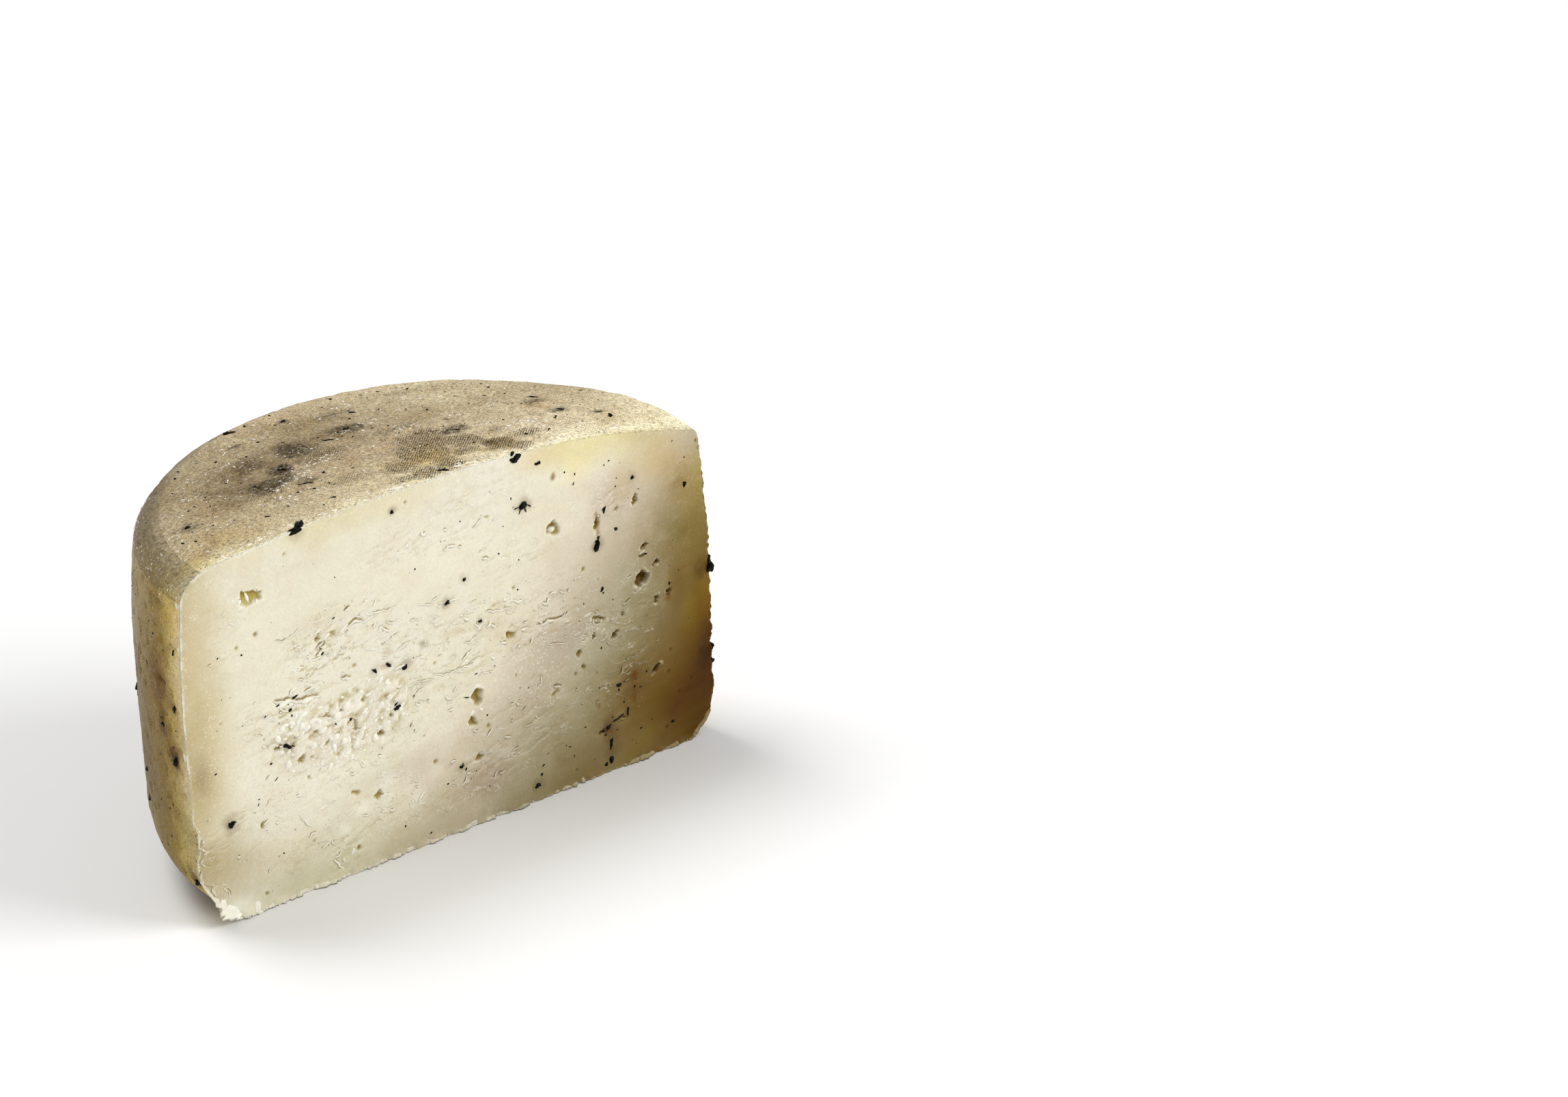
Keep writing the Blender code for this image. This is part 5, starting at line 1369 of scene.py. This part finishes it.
run_down = np.concatenate([np.repeat(rows_down, RIND_COLUMNS + 1), np.full(rest, 1.5)])
on_top = 1 - ease(run_down, 0.2, 1.2)
turn_here = np.degrees(np.arctan2(np.maximum(y, 0), x))
border = 0.3 * grain(x, y, z, 4, 111, 3)
smudgy = 0.3 * grain(x, y, z, 1.6, 113, 2)


def patches(places, first, second, raggedness):
    """Soft ragged patches: the strongest of several bumps over two coordinates."""
    field = np.zeros(len(rind_corners))
    for *place, strength in places:
        field = np.maximum(field, strength * blot(first, second, place, raggedness * border, 0.8))
    return field


def rind_tone():
    """The rind's colour at each corner: top and wall, each a ground with tints, blended at the rim."""
    wander = 3.0 * waves(x, y, z, 21, 114)
    top = read_off(x + 2 * wander, TOP_GROUND) * read_off(y + wander * ease(y, 2, 12), TOP_DEPTH)
    for row in TOP_TINTS:
        top = tinted(top, blot(x, y, row[:4], border, 0.85), row[4:])
    wall = read_off(turn_here + 0.5 * wander * ease(-turn_here, -174, -160), WALL_GROUND)
    wall = wall * read_off(z + wander, WALL_HEIGHT_TINT)
    for row in WALL_TINTS:
        wall = tinted(wall, blot(turn_here, z, row[:4], smudgy, 0.85), row[4:])
    cloudy = grain(x, y, z, 6, 115, 3)
    wall = tinted(wall, np.clip(cloudy, 0, 1), (0.93, 0.91, 0.86))
    wall = tinted(wall, np.clip(-cloudy, 0, 1), (1.04, 1.05, 1.08)) * [1.0, 0.985, 0.985]
    for row in WALL_STAINS:
        wall = washed(wall, row[4] * blot(turn_here, z, row[:4], 0.8 * smudgy, 0.85), row[5:])
    top = tinted(top, np.clip(cloudy, 0, 1), (0.95, 0.94, 0.92))
    top = tinted(top, np.clip(-cloudy, 0, 1), (1.04, 1.05, 1.06))
    both = wall + (top - wall) * on_top[:, None]
    skin = bump(y / (0.9 + 1.6 * ease(x, 10, 40) + 0.4 * smudgy)) * (z > 0.5)
    both = both + (cut_tone(x, z) - both) * ((0.35 + 0.4 * ease(x, 10, 40)) * skin)[:, None]
    # right at the cut, whiter crumbs of paste and a painted highlight on the edge
    pale = washed(cut_tone(x, z), 0.75 * ease(-x, -35, 10), EDGE_WHITE)
    return both + (pale - both) * (0.95 * bump(y / 0.55) * (z > 0.5))[:, None]


add_tone(rind, rind_tone())
add_mask(rind, "top", on_top)
add_mask(rind, "mesh", ease(patches(MESH_PATCHES, x, y, 0.8), 0.05, 0.45) * on_top)
add_mask(rind, "smudge", ease(patches(SMUDGES, x, y, 0.5), 0.0, 0.6) * on_top)
rim_line = bump((run_down - 0.8) / 0.3) * ease(-x, 30, 50)
glint = np.maximum(ease(patches(GLINT_PATCHES, x, y, 1.0), 0.0, 0.7), 0.25)
add_mask(rind, "glint", glint * on_top + (0.14 + 0.7 * rim_line) * (1 - on_top))
add_mask(rind, "round_mm", np.append(np.tile(turns * WHEEL_RADIUS, row_count), np.zeros(rest)))
add_mask(rind, "down_mm", np.interp(run_down, (0, 1, 2, 3), (0, 6, 66, 86)))
weld(rind)

THREAD_PITCH = 0.68  # of the cloth's print, in mm


def add_weave_group():
    """A group that turns a flat place into the print of woven cloth.

    Its height is the product of two waves, one across each thread direction, made uneven by noise.
    """
    group = bpy.data.node_groups.new("cloth_print", 'ShaderNodeTree')
    sockets = (("Place", 'INPUT', "Vector"), ("Pitch", 'INPUT', "Float"), ("Height", 'OUTPUT', "Float"))
    for name, way, kind in sockets:
        group.interface.new_socket(name, in_out=way, socket_type="NodeSocket" + kind)
    entry = group.nodes.new("NodeGroupInput").outputs
    leave = group.nodes.new("NodeGroupOutput").inputs
    inside = Nodes(group)
    blur = inside.add("TexNoise", (entry["Place"], 0.0, 900, 2)).outputs["Color"]
    push = (0.00045, 0.00045, 0)
    pushed = inside.add("VectorMath", (blur, push, entry["Place"]), operation='MULTIPLY_ADD').outputs[0]
    split = inside.add("SeparateXYZ", [pushed]).outputs
    waves_made = []
    for axis in ("X", "Y"):
        turn = inside.math('MULTIPLY', inside.math('DIVIDE', split[axis], entry["Pitch"]), 2 * math.pi)
        waves_made.append(inside.math('SINE', turn))
    lift = inside.math('MULTIPLY_ADD', inside.math('MULTIPLY', *waves_made), 0.5, 0.5)
    inside.feed(leave["Height"], lift)
    return group


MESH_OLIVE_AND_SHADE = (50, 36, 0)
SMUDGE_DARK = (36, 26, 4)
SPECK_DARK = (70, 56, 38)
BRINE_GLINT_WHITE = (255, 253, 244)
crust = Recipe("rind")
weave = crust.add("Group", node_tree=add_weave_group())
laid = crust.add("CombineXYZ")
for side, name in (("X", "round_mm"), ("Y", "down_mm")):
    crust.feed(laid.inputs[side], crust.math('MULTIPLY', crust.mask(name), MM))
crust.feed(weave.inputs["Place"], crust.blend(crust.mask("top"), laid.outputs[0], crust.place))
crust.feed(weave.inputs["Pitch"], THREAD_PITCH * MM)
weave_height = weave.outputs["Height"]

fine = crust.noise(0.6, 3, 0.7, shift=0.2)
coarse = crust.noise(2.2, 3, 0.6, shift=0.5)
grainy = crust.math('MULTIPLY_ADD', crust.mask("top"), 0.55, 0.45)
colour = crust.mottled(crust.tone(), fine, 0.6, 1.35, grainy)
colour = crust.mottled(colour, coarse, 0.92, 1.07)
# the print's hollows darker and its ridges lighter: painted shade and light on the weave
colour = crust.blend(1.0, colour, crust.rise(weave_height, 0.15, 0.85, 0.88, 1.08), 'MULTIPLY')
# smudges lie in the hollows of the print, so they are broken up by it
inky = crust.math('MULTIPLY', crust.rise(fine, 0.3, 0.68, 1.0, 0.5), crust.rise(coarse, 0.35, 0.65, 1.0, 0.8))
colour = crust.painted(colour, crust.mask("smudge"), inky, SMUDGE_DARK)
# olive with painted shade between the threads
threads = crust.rise(weave_height, 0.47, 0.66, 1.0, 0.0)
threads = crust.math('MULTIPLY', threads, crust.rise(fine, 0.35, 0.68, 1.0, 0.65))
colour = crust.painted(colour, crust.mask("mesh"), threads, MESH_OLIVE_AND_SHADE)
# white specks of dried brine and painted glints on the threads
crumbs = crust.noise(0.55, 2, 0.65, stretch=(1.6, 1, 1), shift=0.7)
clusters = crust.rise(crust.noise(3.2, 3, 0.6, shift=1.1), 0.42, 0.6, 0.35, 1.0)
brine_glint_share = crust.math('MULTIPLY', crust.rise(crumbs, 0.57, 0.64), clusters)
colour = crust.painted(colour, brine_glint_share, crust.mask("glint"), BRINE_GLINT_WHITE)
dots = crust.noise(0.62, 1, 0.5, shift=1.3)
colour = crust.blend(crust.rise(dots, 0.67, 0.73, 0.0, 0.75), colour, shade(*SPECK_DARK))
grain_bump = crust.relief(crumbs, 0.04, crust.relief(weave_height, 0.06))
crust.give({
    "Base Color": colour,
    "Roughness": crust.rise(coarse, 0.3, 0.7, 0.45, 0.65),
    "Normal": crust.relief(crust.noise(1.1, 3, 0.6), 0.08, grain_bump),
    "Subsurface Weight": 0.1,
    "Subsurface Radius": (1.0, 0.65, 0.35),
    "Subsurface Scale": 0.8 * MM,
    "Specular IOR Level": 0.06,
})
rind.data.materials.append(crust.material)
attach(rind, "root")
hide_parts("cheese_half")


# -------------------- truffle
# Chopped black truffle was stirred into the curd: hard angular bits, matt black outside and a little
# shiny where the knife broke them.  They lie half bedded in the cut, and some stand out of the rind.

# The largest bits in the cut: along, up, length, width, tilt in degrees
CUT_BITS = [
    (15.8, 77.2, 2.6, 1.7, 35), (20.8, 74.4, 1.6, 0.9, 5), (-36.8, 76.8, 3.3, 1.3, 10),
    (16.7, 66.4, 2.2, 1.4, 20), (35.1, 52.4, 2.6, 1.8, 75), (37.1, 59.6, 1.3, 0.8, 70),
    (39.9, 54.6, 1, 0.9, 0), (44.7, 64.5, 1.3, 1, 30), (1.6, 55, 1.1, 0.9, 40), (-3, 51.2, 1.4, 0.8, 20),
    (4.7, 44.6, 1.2, 0.9, 0), (35.7, 42.2, 1.4, 0.7, 80), (-21.3, 42.3, 1.3, 0.9, -50),
    (-17.9, 42.4, 1.5, 0.7, -35), (-14.2, 40.7, 1.4, 0.9, 10), (-16.8, 32.9, 1.5, 0.7, 25),
    (-27.6, 33.8, 1, 0.9, 0), (-41.1, 40.3, 1, 0.8, 0), (-42.7, 33, 1.7, 1, -30),
    (-56.5, 20.7, 1.7, 1.5, 0), (-1.9, 14.2, 1.3, 1, 30), (17, 3.4, 1.8, 0.9, 30),
    (35.9, 10.5, 2.6, 1.1, 25), (36.4, 6, 3.4, 0.9, 82), (41.2, 12.4, 1.8, 0.7, 70),
    (39.1, 19.2, 1.2, 0.9, 0), (53.2, 5.8, 1.1, 0.9, 0), (58.5, 59.2, 1.3, 0.8, 60),
    (-14.7, 74.3, 1, 0.9, 0), (53.6, 38, 0.9, 0.9, 0),
]
# Bits out of the rind beside the cut: turn round the wheel from the right in degrees, up, length, width, tilt
WALL_BITS = [
    (0.6, 38.9, 4.2, 2.6, -72), (0.9, 19.8, 3.2, 2.2, 55), (1.1, 16.2, 2.8, 1.9, -40),
    (176, 35.7, 2.2, 1.6, 60), (172.3, 41.9, 1.3, 0.9, 20), (177.2, 47.3, 1.6, 0.9, 60),
    (177.7, 58.9, 1.2, 0.8, 80), (177.6, 9.5, 2.3, 1.6, 20), (159, 25.8, 1.4, 1, 30),
]
# Bits on the top: along and into the cheese, length, width, tilt in degrees
TOP_BITS = [
    (-6.5, 49.5, 1.4, 1.1, 0), (-18.3, 52.3, 2.4, 1.1, -20), (-49.6, 17.5, 1.6, 1, 0),
    (-23.6, 6.4, 1.3, 0.6, -41), (6.5, 43.4, 1.8, 0.7, -30), (3.5, 40.3, 1, 0.5, -41),
    (-0.8, 35.2, 2, 0.9, 0), (-7.2, 32.1, 2.2, 0.6, -25), (14.8, 19.2, 1.8, 0.5, -41),
    (-22.4, 26.5, 1.8, 0.7, -10), (40.4, 26.3, 2.6, 0.7, -50), (47.1, 9.2, 1.4, 0.8, -70),
    (23.5, 48.1, 0.6, 0.5, 0), (15.2, 37, 0.5, 0.4, 0), (16.2, 36.1, 0.6, 0.4, 0),
    (17.3, 25.4, 1.6, 0.3, -41), (27.7, 36.5, 1.3, 0.3, -45), (32.3, 33.3, 1, 0.3, -41),
    (36.9, 32, 0.6, 0.4, 0), (41.1, 20.6, 0.5, 0.4, 0), (39.6, 16.8, 2, 0.5, -41),
    (46, 12.1, 1.6, 0.4, -41), (45.4, 20, 0.5, 0.3, -41), (51.6, 25.6, 1.3, 0.3, -20),
    (38.5, 2.3, 0.5, 0.4, 0), (24.4, 8, 0.9, 0.5, -41), (13.1, 10.6, 0.7, 0.5, 0),
    (-0.9, 2.1, 2.2, 1.2, -20), (-4.6, 24.8, 1.2, 0.4, -41), (-11.8, 21.6, 0.5, 0.4, 0),
    (-26.9, 4.8, 0.5, 0.5, 0), (-36.7, 9.2, 1.5, 0.4, -41), (-17.3, 42.7, 0.9, 0.5, -41),
    (-23.1, 16.4, 2.4, 0.5, -20), (-34.6, 1.6, 2.6, 1.4, 20),
]
BIT_THICKNESS = 0.9  # of a bit's width
BIT_STANDS = 0.42  # the share of its thickness that stands out of the surface
RIND_BITS = 20  # more on the rest of the rind, spread evenly
RIND_BIT_LENGTH = (1.2, 2.2)
BIT_CUTS = 11  # flat sides broken off each bit

# Small splinters round the largest bits: along, up, length, width, tilt in degrees
SPLINTERS = [
    (15.9, 65.4, 1.3, 0.4, 65), (17.3, 65.3, 1.2, 0.4, 100), (18.4, 65.9, 1.3, 0.4, -30),
    (15.2, 66.3, 1.4, 0.4, 10), (37.6, 11.3, 1.6, 0.5, 15), (39.6, 12, 2.2, 0.4, 20),
    (34.4, 9.9, 1.3, 0.6, -20), (35, 8.8, 0.9, 0.5, 60), (36.3, 2.6, 2, 1.1, 70), (35, 1.9, 1.5, 0.7, 40),
    (-35.6, 77.5, 1.6, 0.8, 10), (14.8, 78.1, 1.2, 0.8, 60), (-0.9, 13.4, 0.9, 0.5, 60),
    (-41.2, 32.5, 1.2, 0.5, -20), (-40, 42.6, 1.6, 0.5, 20), (-43.8, 42.1, 1, 0.4, 10),
    (33.9, 20.2, 0.5, 0.4, 0), (39, 18.1, 0.7, 0.5, 70), (43.3, 17.5, 0.7, 0.4, 80),
    (46.6, 19.9, 0.5, 0.4, 0), (-17.1, 33.5, 1.6, 0.4, 30), (35.6, 53.9, 0.9, 0.7, 20),
    (34.5, 51.2, 0.8, 0.5, 60), (36, 41.3, 0.5, 0.4, 0), (2.9, 33.6, 0.9, 0.3, 20),
    (0.2, 29.2, 1.3, 0.4, -20), (5.1, 23.6, 0.6, 0.4, 70), (-45.5, 27, 1.5, 0.3, 35),
    (-50.1, 22.9, 0.8, 0.3, 65), (-58.9, 32.5, 0.6, 0.4, 10), (-46.9, 40.8, 0.7, 0.4, 50),
    (-41, 39, 0.6, 0.4, 80), (27.5, 70.6, 0.5, 0.4, 0), (30.1, 69.4, 0.8, 0.3, 80),
    (29.7, 67.6, 1, 0.3, 70), (37.6, 69.3, 0.5, 0.4, 20), (38.9, 70, 0.5, 0.4, 20),
    (25.6, 9.3, 0.6, 0.4, 0), (18.5, 7.4, 0.9, 0.4, 20), (17.9, 5.5, 0.8, 0.6, 0),
    (-10.5, 2.2, 0.7, 0.4, 40), (44.6, 7.2, 0.9, 0.4, 30), (-33, 49.7, 1.1, 0.5, 40),
    (-29.8, 56.3, 0.8, 0.3, 10),
]


def shards(rows, detail, cuts, seed):
    """Angular bits: balls with flat sides broken off by random planes, and a rough skin."""
    balls, triangles = unit_balls(len(rows), detail)
    draw = np.random.default_rng(seed)
    for _ in range(cuts):
        way = unit(draw.normal(size=(len(rows), 1, 3)))
        limit = draw.uniform(0.38, 0.85, (len(rows), 1))
        over = np.clip((balls * way).sum(-1) - limit, 0, None)
        balls = balls - over[..., None] * way
    balls = balls * (1.18 + draw.uniform(-0.09, 0.09, balls.shape[:2])[..., None])
    return set_down(balls, triangles, rows)


def knobs(rows, seed):
    """Smaller bits grown together with each row's bit, so that its outline is uneven."""
    draw = np.random.default_rng(seed)
    more = np.repeat(rows, 3, axis=0)
    along = draw.uniform(-0.42, 0.42, len(more)) * more[:, 9]
    side = np.cross(more[:, 6:9], more[:, 3:6])
    across = draw.uniform(-0.4, 0.4, len(more)) * more[:, 10]
    more[:, :3] += more[:, 3:6] * along[:, None] + side * across[:, None]
    turn = draw.uniform(-0.9, 0.9, len(more))[:, None]
    more[:, 3:6] = more[:, 3:6] * np.cos(turn) + side * np.sin(turn)
    more[:, 9:12] *= draw.uniform(0.35, 0.68, (len(more), 1))
    return more


def on_wall(places, thickness, stands):
    """Rows for bits bedded in the wall, from turn in degrees, up, length, width and tilt."""
    turn, up, length, width, tilt = np.array(places, float).T
    turn = np.radians(turn)
    runs = np.linspace(0.2, 2.9, 300)
    heights = wall_point(turn[:, None], runs[None])[..., 2]
    run = runs[np.argmin(abs(heights - up[:, None]), axis=1)]
    place = wall_point(turn, run)
    out = unit(np.cross(wall_point(turn, run + 0.02) - place, wall_point(turn + 0.01, run) - place))
    place = rind_relief(place, out * ease(place[:, 2], 0.2, 3)[:, None])
    lean = np.radians(tilt)
    long_way = columns(-np.sin(turn) * np.cos(lean), np.cos(turn) * np.cos(lean), np.sin(lean))
    return bedded(place, long_way, out, length, width, thickness, stands)


def in_top(places, thickness, stands):
    """Rows for bits bedded in the top, from along, into the cheese, length, width and tilt."""
    along, into, length, width, tilt = np.array(places, float).T
    lean = np.radians(tilt)
    long_way = columns(np.cos(lean), np.sin(lean), 0 * lean)
    out = np.broadcast_to([0.0, 0.0, 1.0], long_way.shape)
    return bedded(rind_relief(top_point(along, into), out), long_way, out, length, width, thickness, stands)


draw = np.random.default_rng(77)
scattered = []
for number in range(RIND_BITS):
    turn = 12 + 156 * (number + draw.uniform(0.2, 0.8)) / RIND_BITS
    up = 12 + 54 * ((number * 0.618) % 1)
    lean = draw.uniform(0, 180)
    length = draw.uniform(*RIND_BIT_LENGTH)
    scattered.append((turn, up, length, length * draw.uniform(0.5, 0.8), lean))
bits = np.concatenate([in_cut(CUT_BITS, BIT_THICKNESS, BIT_STANDS),
                       on_wall(WALL_BITS + scattered, BIT_THICKNESS, BIT_STANDS),
                       in_top(TOP_BITS, BIT_THICKNESS, BIT_STANDS)])
bits = np.concatenate([bits, knobs(bits[bits[:, 9] > 1.25], 203)])
bit_corners, bit_faces = shards(bits, detail=3, cuts=BIT_CUTS, seed=201)
splinters = in_cut(SPLINTERS, BIT_THICKNESS, BIT_STANDS)
splinter_corners, splinter_faces = shards(splinters, detail=2, cuts=8, seed=202)
truffle = make_piece("truffle_bits", np.concatenate([bit_corners, splinter_corners]),
                     [bit_faces, splinter_faces + len(bit_corners)], smooth=False)

TRUFFLE_BLACK = (8, 6, 4)
TRUFFLE_BROWN = (38, 26, 15)
bark = Recipe("truffle")
veins = bark.noise(0.45, 3, 0.6)
brown_share = bark.rise(veins, 0.54, 0.74, 0.0, 0.7)
bark.give({
    "Base Color": bark.blend(brown_share, shade(*TRUFFLE_BLACK), shade(*TRUFFLE_BROWN)),
    "Roughness": bark.rise(veins, 0.35, 0.65, 0.3, 0.7),
    "Normal": bark.relief(bark.noise(0.22, 3, 0.6), 0.08),
    "Specular IOR Level": 0.1,
})
truffle.data.materials.append(bark.material)
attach(truffle, "root")
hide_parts("cheese_half")


# -------------------- truffle specks
# The finest dust of the chopped truffle: dark specks under a millimetre, thinly spread through the paste
# and pressed into the rind, where the brine has set them.
SPECKS_IN_CUT = 150
SPECKS_ON_TOP = 260
SPECKS_ON_WALL = 420
SPECK_THICKNESS = 0.8  # of a speck's width
TOP_REACH = 56  # radius of the top inside its rounding
draw = np.random.default_rng(301)


def speck_places(count, first, second, shortest, longest):
    """Random places within two ranges, with sizes that are mostly near the shortest."""
    length = between((shortest, longest), draw.uniform(size=count) ** 2.6)
    width = length * draw.uniform(0.45, 0.9, count)
    along = draw.uniform(*first, count)
    across = draw.uniform(*second, count)
    return columns(along, across, length, width, draw.uniform(0, 180, count))


cut_specks = speck_places(SPECKS_IN_CUT, (-60, 60), (3, 72), 0.22, 0.65)
top_specks = speck_places(SPECKS_ON_TOP, (0.05, 0.95), (0, 1), 0.2, 0.9)
turn = top_specks[:, 0] * math.pi
reach = TOP_REACH * np.sqrt(top_specks[:, 1])
top_specks[:, 0] = reach * np.cos(turn)
top_specks[:, 1] = 1 + reach * np.sin(turn)
wall_specks = speck_places(SPECKS_ON_WALL, (3, 177.5), (4, 71), 0.2, 0.8)
specks = np.concatenate([in_cut(cut_specks, SPECK_THICKNESS, stands=0.35),
                         in_top(top_specks, SPECK_THICKNESS, stands=0.3),
                         on_wall(wall_specks, SPECK_THICKNESS, stands=0.3)])
speck_corners, speck_faces = shards(specks, detail=2, cuts=5, seed=302)
dust = make_piece("truffle_specks", speck_corners, [speck_faces], smooth=False)
dust.data.materials.append(bark.material)
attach(dust, "root")
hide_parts("cheese_half")


# -------------------- dried brine
# Tiny flakes of dried brine and whey sit on the ridges of the cloth print: white ticks a few tenths of a
#  millimetre long that lie along the two thread directions, scattered and in clusters.  They also stand for
#  the glints of those ridges: a painted highlight.
TICKS_ON_TOP = 2100
TICKS_ON_RIM = 160
TICK_LENGTH = (0.25, 0.95)
TICK_TRIES = 40000  # places tried for the ticks on the top
TICK_THICKNESS = 0.5  # of a tick's width
THREAD_TILT = -41  # the cloth's warp lies at this angle to the cut, in degrees
draw = np.random.default_rng(601)


def tick_sizes(count):
    """Length, width and tilt for ticks that lie along either thread direction."""
    length = between(TICK_LENGTH, draw.uniform(size=count) ** 2.2)
    thread = np.where(draw.uniform(size=count) < 0.7, THREAD_TILT, THREAD_TILT + 90)
    width = length * draw.uniform(0.3, 0.6, count)
    return columns(length, width, thread + draw.normal(0, 14, count))


along = draw.uniform(-57, 57, TICK_TRIES)
into = draw.uniform(0.3, TOP_REACH, TICK_TRIES)
likely = np.full(len(along), 0.12)
for *place, strength in GLINT_PATCHES:
    likely = np.maximum(likely, strength * blot(along, into, place, tightness=0.8))
likely = likely * ease(grain(along, into, 0, 3.0, 602, 2), -0.3, 0.5)
likely = likely * (np.hypot(along, into) < TOP_REACH)
chosen = np.flatnonzero(draw.uniform(size=len(along)) < 0.3 * likely)[:TICKS_ON_TOP]
top_ticks = np.column_stack([along[chosen], into[chosen], tick_sizes(len(chosen))])
rim_turn = np.radians(draw.uniform(138, 179, TICKS_ON_RIM))
rim_place = wall_point(rim_turn, draw.normal(0.75, 0.14, TICKS_ON_RIM))
rim_out = columns(np.cos(rim_turn), np.sin(rim_turn), 0.8 + 0 * rim_turn)
rim_size = 0.6 * tick_sizes(TICKS_ON_RIM)
rim_down = columns(np.cos(rim_turn), np.sin(rim_turn), -1.0 + 0 * rim_turn)
rim_rows = bedded(rim_place, rim_down, rim_out, *rim_size[:, :2].T, TICK_THICKNESS, stands=0.3)
tick_rows = np.concatenate([in_top(top_ticks, TICK_THICKNESS, stands=0.45), rim_rows])
tick_corners, tick_faces = grains_of(tick_rows, detail=1, seed=603, lumpiness=GRAIN_LUMPS)
brine = make_piece("brine_glint_ticks", tick_corners, [tick_faces])
# white ticks: dried brine with painted glints
fleck_glint = Recipe("brine")
fleck_glint.give({"Base Color": shade(252, 250, 240), "Roughness": 0.35, "Specular IOR Level": 0.4})
brine.data.materials.append(fleck_glint.material)
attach(brine, "root")
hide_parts("cheese_half")


# -------------------- floor
# A smooth pale surface.  It is lit softly by a large window in front of the cheese and a skylight behind
# it, in a room with white walls.
floor_mesh = bpy.data.meshes.new("floor")
FLOOR_HALF = 12.0  # half its width in metres
floor_corners = [(FLOOR_HALF * a, FLOOR_HALF * b, 0) for a, b in ((-1, -1), (1, -1), (1, 1), (-1, 1))]
floor_mesh.from_pydata(floor_corners, [], [(0, 1, 2, 3)])
floor = bpy.data.objects.new("floor", floor_mesh)
bpy.context.scene.collection.objects.link(floor)
ground = Recipe("pale_floor")
ground.give({"Base Color": (0.88, 0.88, 0.875, 1), "Roughness": 0.8, "Specular IOR Level": 0.2})
floor_mesh.materials.append(ground.material)

world = bpy.data.worlds.new("studio")
bpy.context.scene.world = world
world.use_nodes = True
room_light = world.node_tree.nodes["Background"].inputs
room_light["Color"].default_value = (1, 1, 1, 1)
room_light["Strength"].default_value = 0.35

AIM_HEIGHT = 0.03  # the lamps look at this height on the cheese, in metres


def soft_light(name, azimuth, elevation, distance, width, watts):
    """A square lamp that looks at the cheese from a direction; azimuth 0 is in front of the cut."""
    lamp = bpy.data.lights.new(name, 'AREA')
    lamp.shape = 'SQUARE'
    lamp.size = width
    lamp.energy = watts
    turn, rise = math.radians(azimuth), math.radians(elevation)
    back = np.array([math.sin(turn) * math.cos(rise), -math.cos(turn) * math.cos(rise), math.sin(rise)])
    holder = bpy.data.objects.new(name, lamp)
    holder.location = back * distance + [0, 0, AIM_HEIGHT]
    holder.rotation_euler = (math.pi / 2 - rise, 0, turn)
    bpy.context.scene.collection.objects.link(holder)


soft_light("window", azimuth=40, elevation=32, distance=3.0, width=1.6, watts=58)
soft_light("skylight", azimuth=-160, elevation=64, distance=3.0, width=1.5, watts=56)

# The photograph's view: a long lens, a little above the cheese and to the left of the cut
IMAGE_WIDTH = 2296
FOCAL_PIXELS = 5000
SENSOR_MM = 36.0
CAMERA_PLACE = (-0.356467, -0.544580, 0.329245)
CAMERA_RIGHT = (0.75227601, -0.65858551, -0.01859925)
CAMERA_UP = (0.27422398, 0.28731699, 0.91774188)
lens = bpy.data.cameras.new("camera")
lens.sensor_width = SENSOR_MM
lens.lens = lens.sensor_width * FOCAL_PIXELS / IMAGE_WIDTH
lens.clip_start = 0.01
camera = bpy.data.objects.new("camera", lens)
ahead = np.cross(CAMERA_UP, CAMERA_RIGHT)
camera.matrix_world = Matrix([(CAMERA_RIGHT[i], CAMERA_UP[i], -ahead[i], CAMERA_PLACE[i]) for i in range(3)]
                             + [(0, 0, 0, 1)])
bpy.context.scene.collection.objects.link(camera)
bpy.context.scene.camera = camera
bpy.context.scene.view_settings.view_transform = 'Standard'
